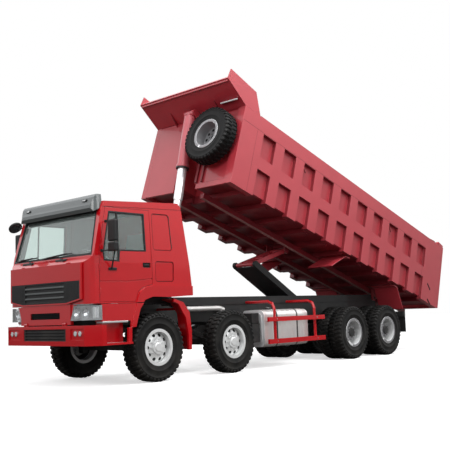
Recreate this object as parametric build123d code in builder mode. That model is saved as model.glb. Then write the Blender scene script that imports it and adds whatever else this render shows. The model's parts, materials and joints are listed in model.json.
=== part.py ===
from build123d import *
import os
from math import cos, hypot, pi, radians, sin

# Four-axle dump truck with its bed raised. Millimetres, X forward, Y left, Z up.
# Every x below is measured from the front axle; write() moves the pieces so that
# the frame's origin lies on the ground under the middle of the truck.
FRONT_AXLE_X = 4110.0

# ---- wheels and axles ----
# each axle: its number, its x, and whether it carries twin driven wheels
AXLES = (("1", 0.0, False), ("2", -1800.0, False), ("3", -5490.0, True), ("4", -6840.0, True))
STEERED_X = [x for _, x, twin in AXLES if not twin]
DRIVEN_X = [x for _, x, twin in AXLES if twin]
TYRE_R = 560.0
TYRE_W = 300.0
TYRE_BEAD_R = 262.0
TYRE_SIDES = 24
TREAD_HALF = 100.0
SHOULDER_R = 520.0
BEAD_HALF = 124.0
LUG_FLOOR_R = 536.0
LUG_INNER_HALF = 72.0
FRONT_TRACK_HALF = 1010.0
KINGPIN_Y = 860.0
KINGPIN_R = 28.0
KNUCKLE_HALF = 120.0
BEAM_HALF = 60.0
SPINDLE_R = 45.0
DRIVE_SHAFT_R = 60.0
# long shaft from the gearbox to the driven axles
ENGINE_X, ENGINE_HALF, ENGINE_Z = (-800.0, 1000.0), 325.0, (800.0, 1262.0)
GEARBOX_REAR_X, GEARBOX_HALF, GEARBOX_Z = -1600.0, 210.0, (830.0, 1180.0)
ENGINE_FEET_X, ENGINE_FOOT, ENGINE_FOOT_Z = (-600.0, 600.0), 80.0, (1000.0, 1060.0)
GEARBOX_SHAFT_Z, PROPSHAFT_R = 950.0, 55.0
PROPSHAFT_LOW_Z = TYRE_R + BEAM_HALF
TWIN_OUTER_Y = 1085.0
TWIN_SPACING = 330.0
RIM_WALL = 14.0
BEAD_PLAY = 0.3
RIM_INSET = 22.0
RIM_FLANGE_R = 298.0
HUB_R = 140.0
HAND_HOLE_R, HAND_HOLE_RING, HAND_HOLES = 30.0, 200.0, 10
NUT_R, NUT_RING, NUTS = 15.0, 137.0, 10
RUNNING_GAP = 0.06
# dished disc of a front wheel, round its section: y from the tyre's middle, radius
DRUM_R = TYRE_BEAD_R - RIM_WALL
BORE_R = SPINDLE_R + RUNNING_GAP
FRONT_DISC = (
    (30.0, DRUM_R + 1), (48.0, DRUM_R + 1), (86.0, 172.0), (92.0, 160.0),
    (92.0, BORE_R), (74.0, BORE_R), (74.0, 156.0), (68.0, 168.0),
)
# ends of the front hubs from the tyre's middle, and of the rear hubs from the disc and the truck's middle
FRONT_HUB_Y, FRONT_HUB_SHARE = (-10.0, 122.0), 0.8
REAR_HUB_INSIDE, REAR_HUB_END_Y, REAR_DISC_HALF = 60.0, 1150.0, 22.0
BODY_GAP = 6.0

# ---- frame ----
RAIL_Y = 425.0
RAIL_WEB = 14.0
RAIL_FLANGE = 90.0
RAIL_Z = (930.0, 1230.0)
FRAME_FRONT_X = 1320.0
FRAME_REAR_X = -7640.0
TAIL_BAR_HALF, TAIL_BAR_T = 1180.0, 60.0
TAIL_BAR_Z = (840.0, 960.0)
# flaps behind the last axle: their y values, lower edge and thickness
FLAP_Y, FLAP_LOW_Z, FLAP_T = (640.0, 1180.0), 480.0, 12.0
TOW_PLATE = (130.0, 80.0)
TOW_Z = (885.0, 915.0)
TOW_HOLE_R = 25.0
SUBFRAME_Z = (RAIL_Z[1], 1380.0)
SUBFRAME_Y = (350.0, 440.0)
SUBFRAME_FRONT_X = -1000.0
SUBFRAME_BEAM_X, SUBFRAME_BEAM_T = (-1480.0, -5120.0, -7300.0), 80.0
CROSS_MEMBER_X = (1150.0, -1750.0, -2500.0, -5050.0, -6165.0, -7560.0)
CROSS_MEMBER_T = 60.0
CROSS_MEMBER_Z = (1060.0, 1200.0)

# ---- raised bed: u along its floor from the pivot, v up from the pivot ----
BED_ANGLE = 18.3
PIVOT_X, PIVOT_Z = -7500.0, 1300.0
PIVOT_R = 35.0
BED_EYE_Y = (446.0, 490.0)
BED_EYE_R = 70.0
BED_HALF = 1250.0
BED_U = (-1596.0, 6144.0)
BED_V = (215.0, 1815.0)
SIDE_INNER_Y = BED_HALF - 130.0
RECESS_Y = BED_HALF - 78.0
BAY_FIRST_U = 5134.0
BAY_LENGTH = 385.0
BAY_PITCH = 662.0
BAY_COUNT = 10
LOWER_BAY_V = (BED_V[0], 775.0)
UPPER_BAY_V = (1025.0, 1515.0)
NOTCH_V = 292.0
FLOOR_V = (NOTCH_V, 350.0)
RUNNER_V = (85.0, 190.0)
RUNNER_Y = (330.0, 420.0)
CROSS_BEAM_T = 110.0
HEADBOARD_U = (6040.0, 6094.0)
DOGHOUSE_Y = 215.0
DOGHOUSE_DEPTH = 470.0
DOGHOUSE_TOP_V = 1480.0
PLATE = 20.0
CANOPY = ((6094.0, 1815.0), (6710.0, 2090.0))
CANOPY_T = 36.0
WING = ((5709.0, 1815.0), (5934.0, 2215.0), (6694.0, 2300.0), (6730.0, 2085.0), (6144.0, 1815.0))

# spare wheel: u, y, v of its middle
SPARE = (HEADBOARD_U[1] + 270.0, BED_HALF - 550.0, 1155.0)
SPARE_DISC, SPARE_HOLE_R, SPARE_POST_R = (-110.0, -92.0), 60.0, 75.0
SPARE_PLATE_T, SPARE_PLATE_HALF = 40.0, 170.0
# sheets over the driven wheels, ahead of them and behind them: u, v points
BED_MUDGUARD_Y = (560.0, 1180.0)
BED_MUDGUARDS = (
    ((2150.0, 190.0), (2290.0, 190.0), (2735.0, -185.0), (2723.0, -199.0), (2282.0, 174.0), (2150.0, 174.0)),
    ((300.0, 190.0), (150.0, 190.0), (-206.0, -226.0), (-194.0, -238.0), (158.0, 174.0), (300.0, 174.0)),
)

# ---- tailgate ----
TAILGATE_U = (-1662.0, -1602.0)
TAILGATE_V = (232.0, 1826.0)
TAILGATE_PIVOT = (-1440.0, 1872.0)
TAILGATE_PIN_R = 20.0
TAILGATE_ARM_Y = (BED_HALF - 70.0, BED_HALF - 15.0)
TAILGATE_EYE_R = 42.0
# shallow panels in its outer face: count, height, pitch, and how far from its edges
TAILGATE_PANELS, TAILGATE_PANEL_H, TAILGATE_PANEL_PITCH = 3, 260.0, 400.0
TAILGATE_PANEL_LOW, TAILGATE_PANEL_MARGIN, TAILGATE_PANEL_DEPTH = 330.0, 120.0, 30.0
TAILGATE_LUG_Y = (SIDE_INNER_Y, BED_HALF - 76.0)

# ---- hoist: tube on the bed, stages inside one another, eye on the frame ----
HOIST_TOP = (6394.0, 1780.0)
HOIST_FOOT = (-1150.0, 1350.0)
HOIST_TUBE_R = 112.0
HOIST_TUBE_LENGTH = 1165.0
HOIST_STAGE_R = (88.0, 74.0, 61.0, 48.0)
HOIST_WALL = 12.0
HOIST_EYE_R = 58.0
HOIST_PIN_R = 30.0
HOIST_EYE_HALF = 50.0
HOIST_REST_STROKE = 487.0
HOIST_CLOSED_STEP = (150.0, 36.0, 36.0)
# ears of the hoist's foot on the subframe, and of its top pin on the headboard
HOIST_FOOT_EAR = (
    (-1400.0, 1230.0), (-1380.0, 1330.0), (-1210.0, 1430.0),
    (-1090.0, 1430.0), (-1000.0, 1330.0), (-1000.0, 1230.0),
)
HOIST_FOOT_EAR_Y, HOIST_TOP_EAR_Y, HOIST_TOP_EYE_HALF = (72.0, 96.0), (124.0, 148.0), 118.0
HOIST_COLLAR_T, HOIST_COLLAR_LENGTH, HOIST_NECK_R = 14.0, 70.0, 60.0

# ---- folding stabiliser arms between the rails ----
STAY_FOOT = (-4950.0, 1180.0)
STAY_KNEE = (-3450.0, 2040.0)
STAY_BED = (3178.0, 55.0)
STAY_LOWER_Y = (250.0, 305.0)
STAY_UPPER_Y = (150.0, 205.0)
STAY_HALF = 65.0
STAY_UPPER_HALF = 45.0
STAY_PIN_R = 26.0
STAY_BED_EAR_Y = (236.0, 262.0)

# ---- cab ----
CAB_HALF = 1150.0
CAB_ROOF_HALF = CAB_HALF - 65.0
CAB_WALL = 45.0
CAB_BELT_Z = 1900.0
CAB_SIDE = (
    (-775.0, 1390.0), (-775.0, 1545.0), (-610.0, 2900.0), (-545.0, 2962.0), (1040.0, 2885.0),
    (1095.0, 2770.0), (1285.0, 2010.0), (1372.0, 1925.0), (1372.0, 1286.0), (430.0, 1286.0),
    (360.0, 1430.0), (250.0, 1500.0), (-480.0, 1500.0), (-560.0, 1390.0),
)
CAB_CORNER_R = 190.0
DOOR = (
    (115.0, 1577.0), (115.0, 2790.0), (1015.0, 2790.0), (1180.0, 2060.0),
    (1180.0, 1306.0), (482.0, 1306.0), (412.0, 1464.0), (296.0, 1540.0),
)
DOOR_WINDOW = (
    (225.0, 2105.0), (225.0, 2730.0), (955.0, 2730.0), (1108.0, 2060.0),
    (1092.0, 1940.0), (785.0, 1930.0), (762.0, 2100.0),
)
# moulding round the wheel arch, outer edge then inner edge, from the front to the rear
ARCH_Y = (CAB_HALF - 38.0, CAB_HALF + 22.0)
ARCH_OUTER = ((466.0, 1292.0), (395.0, 1453.0), (286.0, 1524.0), (122.0, 1559.0), (-775.0, 1548.0))
ARCH_INNER = ((322.0, 1292.0), (292.0, 1330.0), (128.0, 1379.0), (-263.0, 1368.0), (-775.0, 1392.0))
# pressed areas in the cab's sides: depth and outline
PRESSED_DEPTH = 9.0
SLEEPER_UPPER = (
    (70.0, 2175.0), (70.0, 2710.0), (35.0, 2750.0), (-285.0, 2750.0),
    (-320.0, 2710.0), (-352.0, 2175.0), (-318.0, 2135.0), (36.0, 2135.0),
)
SLEEPER_LOWER = (
    (45.0, 1650.0), (45.0, 1925.0), (15.0, 1955.0), (-335.0, 1955.0),
    (-365.0, 1925.0), (-356.0, 1650.0), (-328.0, 1620.0), (18.0, 1620.0),
)
ROOF_LINE = ((1066.0, 2786.0), (-678.0, 2842.0), (-678.0, 2856.0), (1060.0, 2800.0))
DOOR_CREASE = (
    (1180.0, 1618.0), (635.0, 1618.0), (115.0, 1660.0),
    (115.0, 1674.0), (635.0, 1632.0), (1180.0, 1632.0),
)
HANDLE_RECESS = ((150.0, 1845.0), (150.0, 1925.0), (312.0, 1925.0), (312.0, 1845.0))
HANDLE_DEPTH = 24.0
# mirrors: rear face x, then inner and outer edges past the cab's side
MIRROR_PLACE = {"left": (1005.0, 90.0, 270.0), "right": (1040.0, 25.0, 185.0)}
MIRROR_ARMS = ((1125.0, 30.0, 2095.0), (1020.0, 55.0, 2560.0))
MIRROR_HOUSING_Z = ((2230.0, 2560.0), (2075.0, 2215.0))
MIRROR_DEPTH, MIRROR_ROD_R = 85.0, 11.0
# round mirror of the right door: middle, axis, depth and radius
ROUND_MIRROR, ROUND_MIRROR_AXIS = (1165.0, 100.0, 2680.0), (0.0, 0.65, 0.76)
ROUND_MIRROR_DEPTH, ROUND_MIRROR_R = 50.0, 120.0
# root of its arm: x, then inboard of the cab's side and below the mirror's middle
ROUND_MIRROR_ROOT = (1015.0, 58.0, 25.0)
# door hinges: middle heights, knuckle and pin radii, half height of the door's eye, ear height
DOOR_HINGE_Z = (1480.0, 1840.0)
DOOR_KNUCKLE_R, DOOR_PIN_R = 12.0, 6.0
DOOR_EYE_HALF, DOOR_EAR_H = 30.0, 20.0
WINDSCREEN = ((CAB_HALF - 65.0, 2040.0), (CAB_ROOF_HALF - 80.0, 2735.0))
WINDSCREEN_X = (1000.0, 1400.0)
GLASS_T = 8.0
CAB_FRONT_PANEL_X = (1345.0, 1400.0)
CAB_FRONT_PANEL_Z = (975.0, 1282.0)
LID_X = (1378.0, 1420.0)
LID_HALF = CAB_HALF - 165.0
LID_FOOT_HALF = CAB_HALF - 540.0
LID_OUTLINE = (
    (-LID_HALF, 1918.0), (LID_HALF, 1918.0), (LID_HALF, 1355.0),
    (LID_FOOT_HALF, 1290.0), (-LID_FOOT_HALF, 1290.0), (-LID_HALF, 1355.0),
)
LID_PIVOT = (1404.0, 1929.0)
LID_EYE_R = 9.0
LID_PIN_R = 4.0
LID_EYE_Y = (600.0, 640.0)
LID_EAR_T = 16.0
GRILLE_TOP_Z = 1645.0
GRILLE_DEPTH = 28.0
GRILLE_SLOT_HALF = 550.0
GRILLE_SLOT_Z = ((1336.0, 1386.0), (1420.0, 1466.0), (1504.0, 1548.0), (1584.0, 1622.0))
LOWER_SLOT = (410.0, 1066.0, 1166.0)
VISOR_SIDE = (
    (1095.0, 2770.0), (1185.0, 2718.0), (1222.0, 2790.0), (1190.0, 2862.0), (1165.0, 2940.0),
    (1118.0, 2996.0), (1040.0, 3008.0), (1040.0, 2885.0),
)
VISOR_HALF = CAB_ROOF_HALF - 15.0
VISOR_FRONT_ROUND, VISOR_TOP_ROUND, VISOR_TAPER = 130.0, 95.0, 8.0
CAB_PIVOT = (1398.0, 985.0)
CAB_PIVOT_R = 12.0
CAB_EYE_R = 22.0
CAB_EYE_Y = (522.0, 558.0)
CAB_EAR_T = 22.0

# ---- bumper, lamps and steps ----
BUMPER_Z = (650.0, 960.0)
BUMPER_SIDE_TOP = 682.0
BUMPER_SIDE_X = (640.0, 1150.0)
BUMPER_INSERT = (590.0, 723.0, 910.0)
FOG_RECESS = (716.0, 1040.0, 742.0, 905.0)
FOG_LAMPS = ((833.0, 839.0), (950.0, 839.0))
FOG_LAMP_R = 38.0
BUMPER_PLAN = ((1420.0, CAB_HALF - 80.0), (1230.0, CAB_HALF + 120.0), (610.0, CAB_HALF + 120.0))
BUMPER_T = 80.0
BUMPER_INSERT_DEPTH = 40.0
BUMPER_SLOTS = 4
LAMP_Y = (CAB_HALF - 450.0, CAB_HALF + 40.0)
LAMP_Z = (1036.0, 1262.0)
# plan of a headlamp, then how far its inner edge leans out towards the top
LAMP_PLAN = (
    (1400.0, LAMP_Y[0] - 5), (1390.0, LID_HALF), (1260.0, LAMP_Y[1]),
    (1170.0, LAMP_Y[1]), (1170.0, 1060.0), (1345.0, LAMP_Y[0] - 5),
)
LAMP_LEAN = 85.0
# arms that tie the steps to the frame
STEP_ARM_X, STEP_ARM_Z = (1040.0, 1100.0), (700.0, 760.0)
STEP_Y = (CAB_HALF, CAB_HALF + 22.0)
STEP_WALL_Y = (CAB_HALF - 150.0, CAB_HALF - 130.0)
# skin over the steps with the foot of the arch's moulding, then the moulding alone
STEP_SKIN = (
    (1164.0, 1278.0), (332.0, 1278.0), (403.0, 1190.0), (460.0, 1030.0), (500.0, 905.0),
    (600.0, 905.0), (600.0, 1022.0), (1164.0, 1022.0),
)
STEP_SHELF_Z = (1008.0, 1030.0)
STEP_MOULDING = (
    (472.0, 1278.0), (332.0, 1278.0), (403.0, 1190.0), (460.0, 1030.0),
    (500.0, 905.0), (585.0, 905.0), (548.0, 1050.0),
)
# each tread: front and rear x, outer y past the cab's side, underside and top
STEP_TREADS = ((660.0, 1150.0, 20.0, 985.0, 1010.0), (640.0, 1150.0, 50.0, 655.0, 675.0))

# ---- boxes along the frame ----
TANK_X = (-4100.0, -2750.0)
TANK_Y = (490.0, 1050.0)
TANK_Z = (400.0, 1100.0)
TANK_ROUND = 110.0
# box on the right, small box behind the left rail's tank with its bracket
RIGHT_BOX_X, RIGHT_BOX_Z = (-3900.0, -2750.0), (480.0, 1000.0)
SMALL_BOX = ((-2680.0, -2460.0), (505.0, 1000.0), (500.0, 850.0))
SMALL_BOX_BRACKET_X, SMALL_BOX_BRACKET_Z = (-2600.0, -2540.0), (700.0, 1000.0)
# silencer and its tail: x from front to rear, y, heights and radii
EXHAUST_X, EXHAUST_Y, EXHAUST_Z = (-1480.0, -2080.0, -2230.0), 520.0, (1165.0, 1010.0)
EXHAUST_R, EXHAUST_TAIL_R = 45.0, 34.0
EXHAUST_BRACKET_X, EXHAUST_BRACKET_Z = (-1800.0, -1740.0), (1140.0, 1190.0)
# red guard behind the first wheel, from its top forward end down: x from the tyre's rear, z
GUARD_BAND_OUTER = ((226.0, 1343.0), (9.0, 1276.0), (-132.0, 1102.0), (-170.0, 801.0), (-162.0, 483.0))
GUARD_BAND_INNER = ((226.0, 1290.0), (120.0, 1250.0), (-40.0, 1020.0), (-95.0, 742.0), (-95.0, 483.0))
GUARD_SHEET_INNER_Y = 860.0
GUARD_ARM_X, GUARD_ARM_Z = (-90.0, -40.0), (1150.0, 1190.0)
GUARD_BAND_Y = (CAB_HALF - 30.0, CAB_HALF + 15.0)
GUARD_SHEET_T = 12.0
TANK_STRAP = (50.0, 7.0)
GUARD_Y = (1180.0, 1220.0)
GUARD_RAIL_Z = ((464.0, 553.0), (880.0, 965.0))
GUARD_X = (-4460.0, -2690.0)
GUARD_TUBE_X = (-4200.0, -2940.0)
GUARD_TUBE_R = 27.0
GUARD_TOP_Z = 1258.0
# the tubes' bend: distance inboard and below the level part
GUARD_BEND = ((0.0, 150.0), (44.0, 44.0), (150.0, 0.0))


def write(name, piece):
    """Label a finished piece, move it into the truck's frame and write its file."""
    moved = piece.moved(Location((FRONT_AXLE_X, 0, 0)))
    moved.label = name
    export_step(moved, f"parts/{name}.step")


def box(x, y, z, mode=Mode.ADD):
    """A block between two limits along each axis."""
    middle = (sum(x) / 2, sum(y) / 2, sum(z) / 2)
    with Locations(middle):
        Box(abs(x[1] - x[0]), abs(y[1] - y[0]), abs(z[1] - z[0]), mode=mode)


def both_sides(x, y, z, mode=Mode.ADD):
    """The same block on the left and on the right."""
    box(x, y, z, mode)
    box(x, (-y[0], -y[1]), z, mode)


def side_plate(outline, y, mode=Mode.ADD, inset=0.0):
    """A side view of x, z points extruded between two y values."""
    with BuildSketch(Plane.XZ.offset(-y[1])) as profile:
        with BuildLine():
            Polyline(*outline, close=True)
        make_face()
        if inset:
            offset(amount=-inset, kind=Kind.INTERSECTION, mode=Mode.REPLACE)
    extrude(profile.sketch, amount=y[1] - y[0], mode=mode)


def rod(start, end, radius, mode=Mode.ADD):
    """A round bar between two points."""
    along = Vector(*end) - Vector(*start)
    with BuildSketch(Plane(origin=start, z_dir=along)) as disc:
        Circle(radius)
    extrude(disc.sketch, amount=along.length, mode=mode)


def cross_rod(x, z, y, radius, mode=Mode.ADD):
    """A round bar across the truck at one x and z."""
    rod((x, y[0], z), (x, y[1], z), radius, mode)


def raised(piece):
    """Turn a piece drawn on the lowered bed to the bed's rest angle."""
    return piece.rotate(Axis((PIVOT_X, 0, PIVOT_Z), (0, 1, 0)), -BED_ANGLE)


def on_bed(u, v):
    """The x and z of a point of the lowered bed."""
    return (PIVOT_X + u, PIVOT_Z + v)


def on_raised_bed(u, v):
    """The x and z of a point of the bed at its rest angle."""
    lean = radians(BED_ANGLE)
    return (PIVOT_X + u * cos(lean) - v * sin(lean), PIVOT_Z + u * sin(lean) + v * cos(lean))


def bed_box(u, y, v, mode=Mode.ADD):
    """A block on the lowered bed."""
    box((PIVOT_X + u[0], PIVOT_X + u[1]), y, (PIVOT_Z + v[0], PIVOT_Z + v[1]), mode)


def bed_plate(outline, y, mode=Mode.ADD):
    """A side view of u, v points on the lowered bed, extruded between two y values."""
    side_plate([on_bed(u, v) for u, v in outline], y, mode)


os.makedirs("parts", exist_ok=True)

# ================= frame =================

with BuildPart() as main_frame:
    for side in (-1, 1):
        rail_y = (side * (RAIL_Y - RAIL_WEB), side * RAIL_Y)
        flange_y = (side * (RAIL_Y - RAIL_FLANGE), side * RAIL_Y)
        box((FRAME_REAR_X, FRAME_FRONT_X), rail_y, RAIL_Z)
        box((FRAME_REAR_X, FRAME_FRONT_X), flange_y, (RAIL_Z[0], RAIL_Z[0] + RAIL_WEB))
        box((FRAME_REAR_X, FRAME_FRONT_X), flange_y, (RAIL_Z[1] - RAIL_WEB, RAIL_Z[1]))
    for member_x in CROSS_MEMBER_X:
        box((member_x - CROSS_MEMBER_T, member_x), (-RAIL_Y, RAIL_Y), CROSS_MEMBER_Z)
    # brackets that carry the tank and the boxes
    for bracket_x in (TANK_X[0] + 200, TANK_X[1] - 260):
        both_sides((bracket_x, bracket_x + 60), (RAIL_Y, TANK_Y[0]), (RAIL_Z[0], TANK_Z[1]))
    # pads that carry the bumper
    both_sides(
        (FRAME_FRONT_X, BUMPER_PLAN[0][0] - BUMPER_T),
        (RAIL_Y - RAIL_FLANGE, RAIL_Y),
        (RAIL_Z[0], BUMPER_Z[1]),
    )
    # tail bar
    bar_rear = FRAME_REAR_X - TAIL_BAR_T
    box((bar_rear, FRAME_REAR_X), (-TAIL_BAR_HALF, TAIL_BAR_HALF), TAIL_BAR_Z)
    # towing plate with its pin hole
    box((bar_rear - TOW_PLATE[0], bar_rear), (-TOW_PLATE[1], TOW_PLATE[1]), TOW_Z)
    tow_x = bar_rear - TOW_PLATE[0] / 2
    rod((tow_x, 0, TOW_Z[0]), (tow_x, 0, TOW_Z[1]), TOW_HOLE_R, Mode.SUBTRACT)
write("main_frame", main_frame.part)

with BuildPart() as subframe:
    for side in (-1, 1):
        y = sorted((side * SUBFRAME_Y[0], side * SUBFRAME_Y[1]))
        box((PIVOT_X, SUBFRAME_FRONT_X), y, SUBFRAME_Z)
        cross_rod(PIVOT_X, PIVOT_Z, y, SUBFRAME_Z[1] - PIVOT_Z)
        box((PIVOT_X - 100, PIVOT_X + 100), y, (SUBFRAME_Z[0] - 30, SUBFRAME_Z[0]), Mode.SUBTRACT)
    beam_z = (SUBFRAME_Z[0], SUBFRAME_Z[1] - 20)
    for beam_x in SUBFRAME_BEAM_X:
        box((beam_x - SUBFRAME_BEAM_T, beam_x), (-SUBFRAME_Y[0], SUBFRAME_Y[0]), beam_z)
    # ears for the hoist's foot, open between them
    for side in (-1, 1):
        side_plate(HOIST_FOOT_EAR, sorted(side * y for y in HOIST_FOOT_EAR_Y))
        for rear_x in (HOIST_FOOT_EAR[0][0], SUBFRAME_FRONT_X - 40):
            box((rear_x, rear_x + 40), (side * HOIST_FOOT_EAR_Y[0], side * SUBFRAME_Y[0]), beam_z)
    # pin of the bed's pivot
    cross_rod(PIVOT_X, PIVOT_Z, (-BED_EYE_Y[1], BED_EYE_Y[1]), PIVOT_R)
    # pin of the stabiliser's lower arm
    cross_rod(STAY_FOOT[0], STAY_FOOT[1], (-SUBFRAME_Y[0], SUBFRAME_Y[0]), STAY_PIN_R)
    for side in (-1, 1):
        box(
            (STAY_FOOT[0] - 60, STAY_FOOT[0] + 60),
            sorted((side * (STAY_LOWER_Y[1] + 8), side * (RAIL_Y - RAIL_FLANGE - 2))),
            (STAY_FOOT[1] - 50, SUBFRAME_Z[1]),
        )
        box(
            (STAY_FOOT[0] - 60, STAY_FOOT[0] + 60),
            sorted((side * (STAY_LOWER_Y[1] + 8), side * SUBFRAME_Y[0])),
            (SUBFRAME_Z[0], SUBFRAME_Z[1]),
        )
write("subframe", subframe.part)

# ================= axles, springs and drive =================

with BuildPart() as front_axles:
    beam_z = (TYRE_R - BEAM_HALF, TYRE_R + BEAM_HALF)
    for axle_x in STEERED_X:
        box((axle_x - 50, axle_x + 50), (-KINGPIN_Y, KINGPIN_Y), beam_z)
        for side in (-1, 1):
            kingpin = (axle_x, side * KINGPIN_Y)
            rod((*kingpin, beam_z[0]), (*kingpin, beam_z[1]), KINGPIN_R + 34)
            rod((*kingpin, beam_z[0]), (*kingpin, beam_z[1]), KINGPIN_R + RUNNING_GAP, Mode.SUBTRACT)
    # leaf springs: lower edge, then upper edge, as distance from the axle and height
    rail_low, seat_z = RAIL_Z[0], TYRE_R + BEAM_HALF
    for side in (-1, 1):
        for axle_x in STEERED_X:
            edge = (
                (-700, rail_low), (-640, rail_low - 90), (-90, seat_z), (90, seat_z),
                (640, rail_low - 90), (700, rail_low), (660, rail_low), (600, rail_low - 35),
                (90, seat_z + 100), (-90, seat_z + 100), (-600, rail_low - 35), (-660, rail_low),
            )
            outline = [(axle_x + distance, z) for distance, z in edge]
            side_plate(outline, sorted((side * (RAIL_Y - 80), side * RAIL_Y)))
write("front_axles", front_axles.part)

fork_low, fork_high = TYRE_R - KNUCKLE_HALF, TYRE_R + KNUCKLE_HALF
fork_arms = ((fork_low, beam_z[0] - BODY_GAP), (beam_z[1] + BODY_GAP, fork_high))
fork_y = (KINGPIN_Y + 70.0, KINGPIN_Y + 105.0)
for number, axle_x, twin in AXLES[:2]:
    for side_name, side in (("left", 1), ("right", -1)):
        kingpin = (axle_x, side * KINGPIN_Y)
        with BuildPart() as knuckle:
            rod((*kingpin, fork_low), (*kingpin, fork_high), KINGPIN_R)
            for z in fork_arms:
                rod((*kingpin, z[0]), (*kingpin, z[1]), KINGPIN_R + 30)
                box((axle_x - 55, axle_x + 55), (side * KINGPIN_Y, side * fork_y[1]), z)
            box((axle_x - 55, axle_x + 55), (side * fork_y[0], side * fork_y[1]), (fork_low, fork_high))
            spindle_end = side * (FRONT_TRACK_HALF + 110)
            rod((axle_x, side * fork_y[1], TYRE_R), (axle_x, spindle_end, TYRE_R), SPINDLE_R)
        write(f"knuckle_{side_name}_{number}", knuckle.part)

# the long shaft runs from the gearbox straight to the first driven axle
gearbox_joint = (GEARBOX_REAR_X - 50, 0, GEARBOX_SHAFT_Z)
axle_joint = (DRIVEN_X[0] + 190, 0, PROPSHAFT_LOW_Z)
share = 110 / (gearbox_joint[0] - axle_joint[0])
propshaft_end = tuple(low + share * (high - low) for low, high in zip(axle_joint, gearbox_joint))

with BuildPart() as rear_axles:
    for axle_x in DRIVEN_X:
        cross_rod(axle_x, TYRE_R, (-640, 640), 88)
        cross_rod(axle_x, TYRE_R, (-1120, 1120), DRIVE_SHAFT_R)
        with Locations((axle_x, 0, TYRE_R)):
            Cylinder(205, 300, rotation=(90, 0, 0))
        both_sides((axle_x - 70, axle_x + 70), (440, 530), (TYRE_R, TYRE_R + 105))
    # joint of the long shaft at the first driven axle, and the shaft on to the second
    rod(propshaft_end, (DRIVEN_X[0] + 190, 0, PROPSHAFT_LOW_Z), PROPSHAFT_R + 10)
    rod((DRIVEN_X[0] - 190, 0, PROPSHAFT_LOW_Z), (DRIVEN_X[1] + 190, 0, PROPSHAFT_LOW_Z), PROPSHAFT_R - 10)
    # springs that share the bogie's load, over the axles outside the rails
    bogie_x = sum(DRIVEN_X) / len(DRIVEN_X)
    for side in (-1, 1):
        end_x, end_z = (DRIVEN_X[0] + 60, DRIVEN_X[1] - 60), seat_z + 45
        side_plate(
            (
                (end_x[0], end_z), (bogie_x + 100, rail_low - 130), (bogie_x - 100, rail_low - 130),
                (end_x[1], end_z), (end_x[1], end_z + 40), (bogie_x - 120, rail_low),
                (bogie_x + 120, rail_low), (end_x[0], end_z + 40),
            ),
            sorted((side * (RAIL_Y + 1), side * (RAIL_Y + 105))),
        )
        seat_y = (side * (RAIL_Y - 80), side * (RAIL_Y + 1))
        box((bogie_x - 90, bogie_x + 90), seat_y, (rail_low - 230, rail_low))
write("rear_axles", rear_axles.part)

with BuildPart() as engine_block:
    box(ENGINE_X, (-ENGINE_HALF, ENGINE_HALF), ENGINE_Z)
    box((GEARBOX_REAR_X, ENGINE_X[0]), (-GEARBOX_HALF, GEARBOX_HALF), GEARBOX_Z)
    for foot_x in ENGINE_FEET_X:
        both_sides((foot_x, foot_x + ENGINE_FOOT), (ENGINE_HALF, RAIL_Y - RAIL_WEB), ENGINE_FOOT_Z)
    rod((GEARBOX_REAR_X, 0, GEARBOX_SHAFT_Z), (GEARBOX_REAR_X - 90, 0, GEARBOX_SHAFT_Z), PROPSHAFT_R + 15)
    rod(gearbox_joint, propshaft_end, PROPSHAFT_R)
write("engine_block", engine_block.part)


# ================= wheels =================


def tyre_corner(y, radius, corner):
    """A corner of the tyre's many-sided ring, whose flats lie at the radius from the Y axis."""
    angle = 2 * pi * (corner + 0.5) / TYRE_SIDES
    corner_r = radius / cos(pi / TYRE_SIDES)
    return (corner_r * cos(angle), y, corner_r * sin(angle))


def tyre_solid(lugs):
    """A many-sided tyre about the Y axis, with lugs cut into both shoulders."""
    # y and radius round the section
    section = (
        (-TYRE_W / 2, SHOULDER_R), (-TREAD_HALF, TYRE_R), (TREAD_HALF, TYRE_R), (TYRE_W / 2, SHOULDER_R),
        (BEAD_HALF, TYRE_BEAD_R + BEAD_PLAY), (-BEAD_HALF, TYRE_BEAD_R + BEAD_PLAY),
    )
    faces = []
    for low, high in zip(section, section[1:] + section[:1]):
        for k in range(TYRE_SIDES):
            corners = [tyre_corner(*low, k), tyre_corner(*low, k + 1)]
            corners += [tyre_corner(*high, k + 1), tyre_corner(*high, k)]
            faces.append(Face(Wire.make_polygon(corners)))
    with BuildPart() as tyre:
        add(Solid(Shell(faces)).fix())
        if lugs:
            for way in (-1, 1):
                with BuildSketch(Plane.XZ.offset(-way * LUG_INNER_HALF)) as gaps:
                    for k in range(0 if way > 0 else 1, TYRE_SIDES, 2):
                        foot = [tyre_corner(0, LUG_FLOOR_R, k + end)[::2] for end in (0, 1)]
                        top = [tyre_corner(0, TYRE_R + 60, k + end)[::2] for end in (1, 0)]
                        with BuildLine():
                            Polyline(*foot, *top, close=True)
                        make_face()
                extrude(gaps.sketch, amount=-way * (TYRE_W / 2), mode=Mode.SUBTRACT)
    return tyre.part


lug_tyre = tyre_solid(lugs=True)
plain_tyre = tyre_solid(lugs=False)


def turned(axle_x, sections, mode=Mode.ADD):
    """Revolve closed y, height sections about a wheel's axis."""
    for points in sections:
        with BuildSketch(Plane.YZ.offset(axle_x)) as section:
            with BuildLine():
                Polyline(*points, close=True)
            make_face()
        revolve(section.sketch, axis=Axis((axle_x, 0, TYRE_R), (0, 1, 0)), mode=mode)


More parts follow.
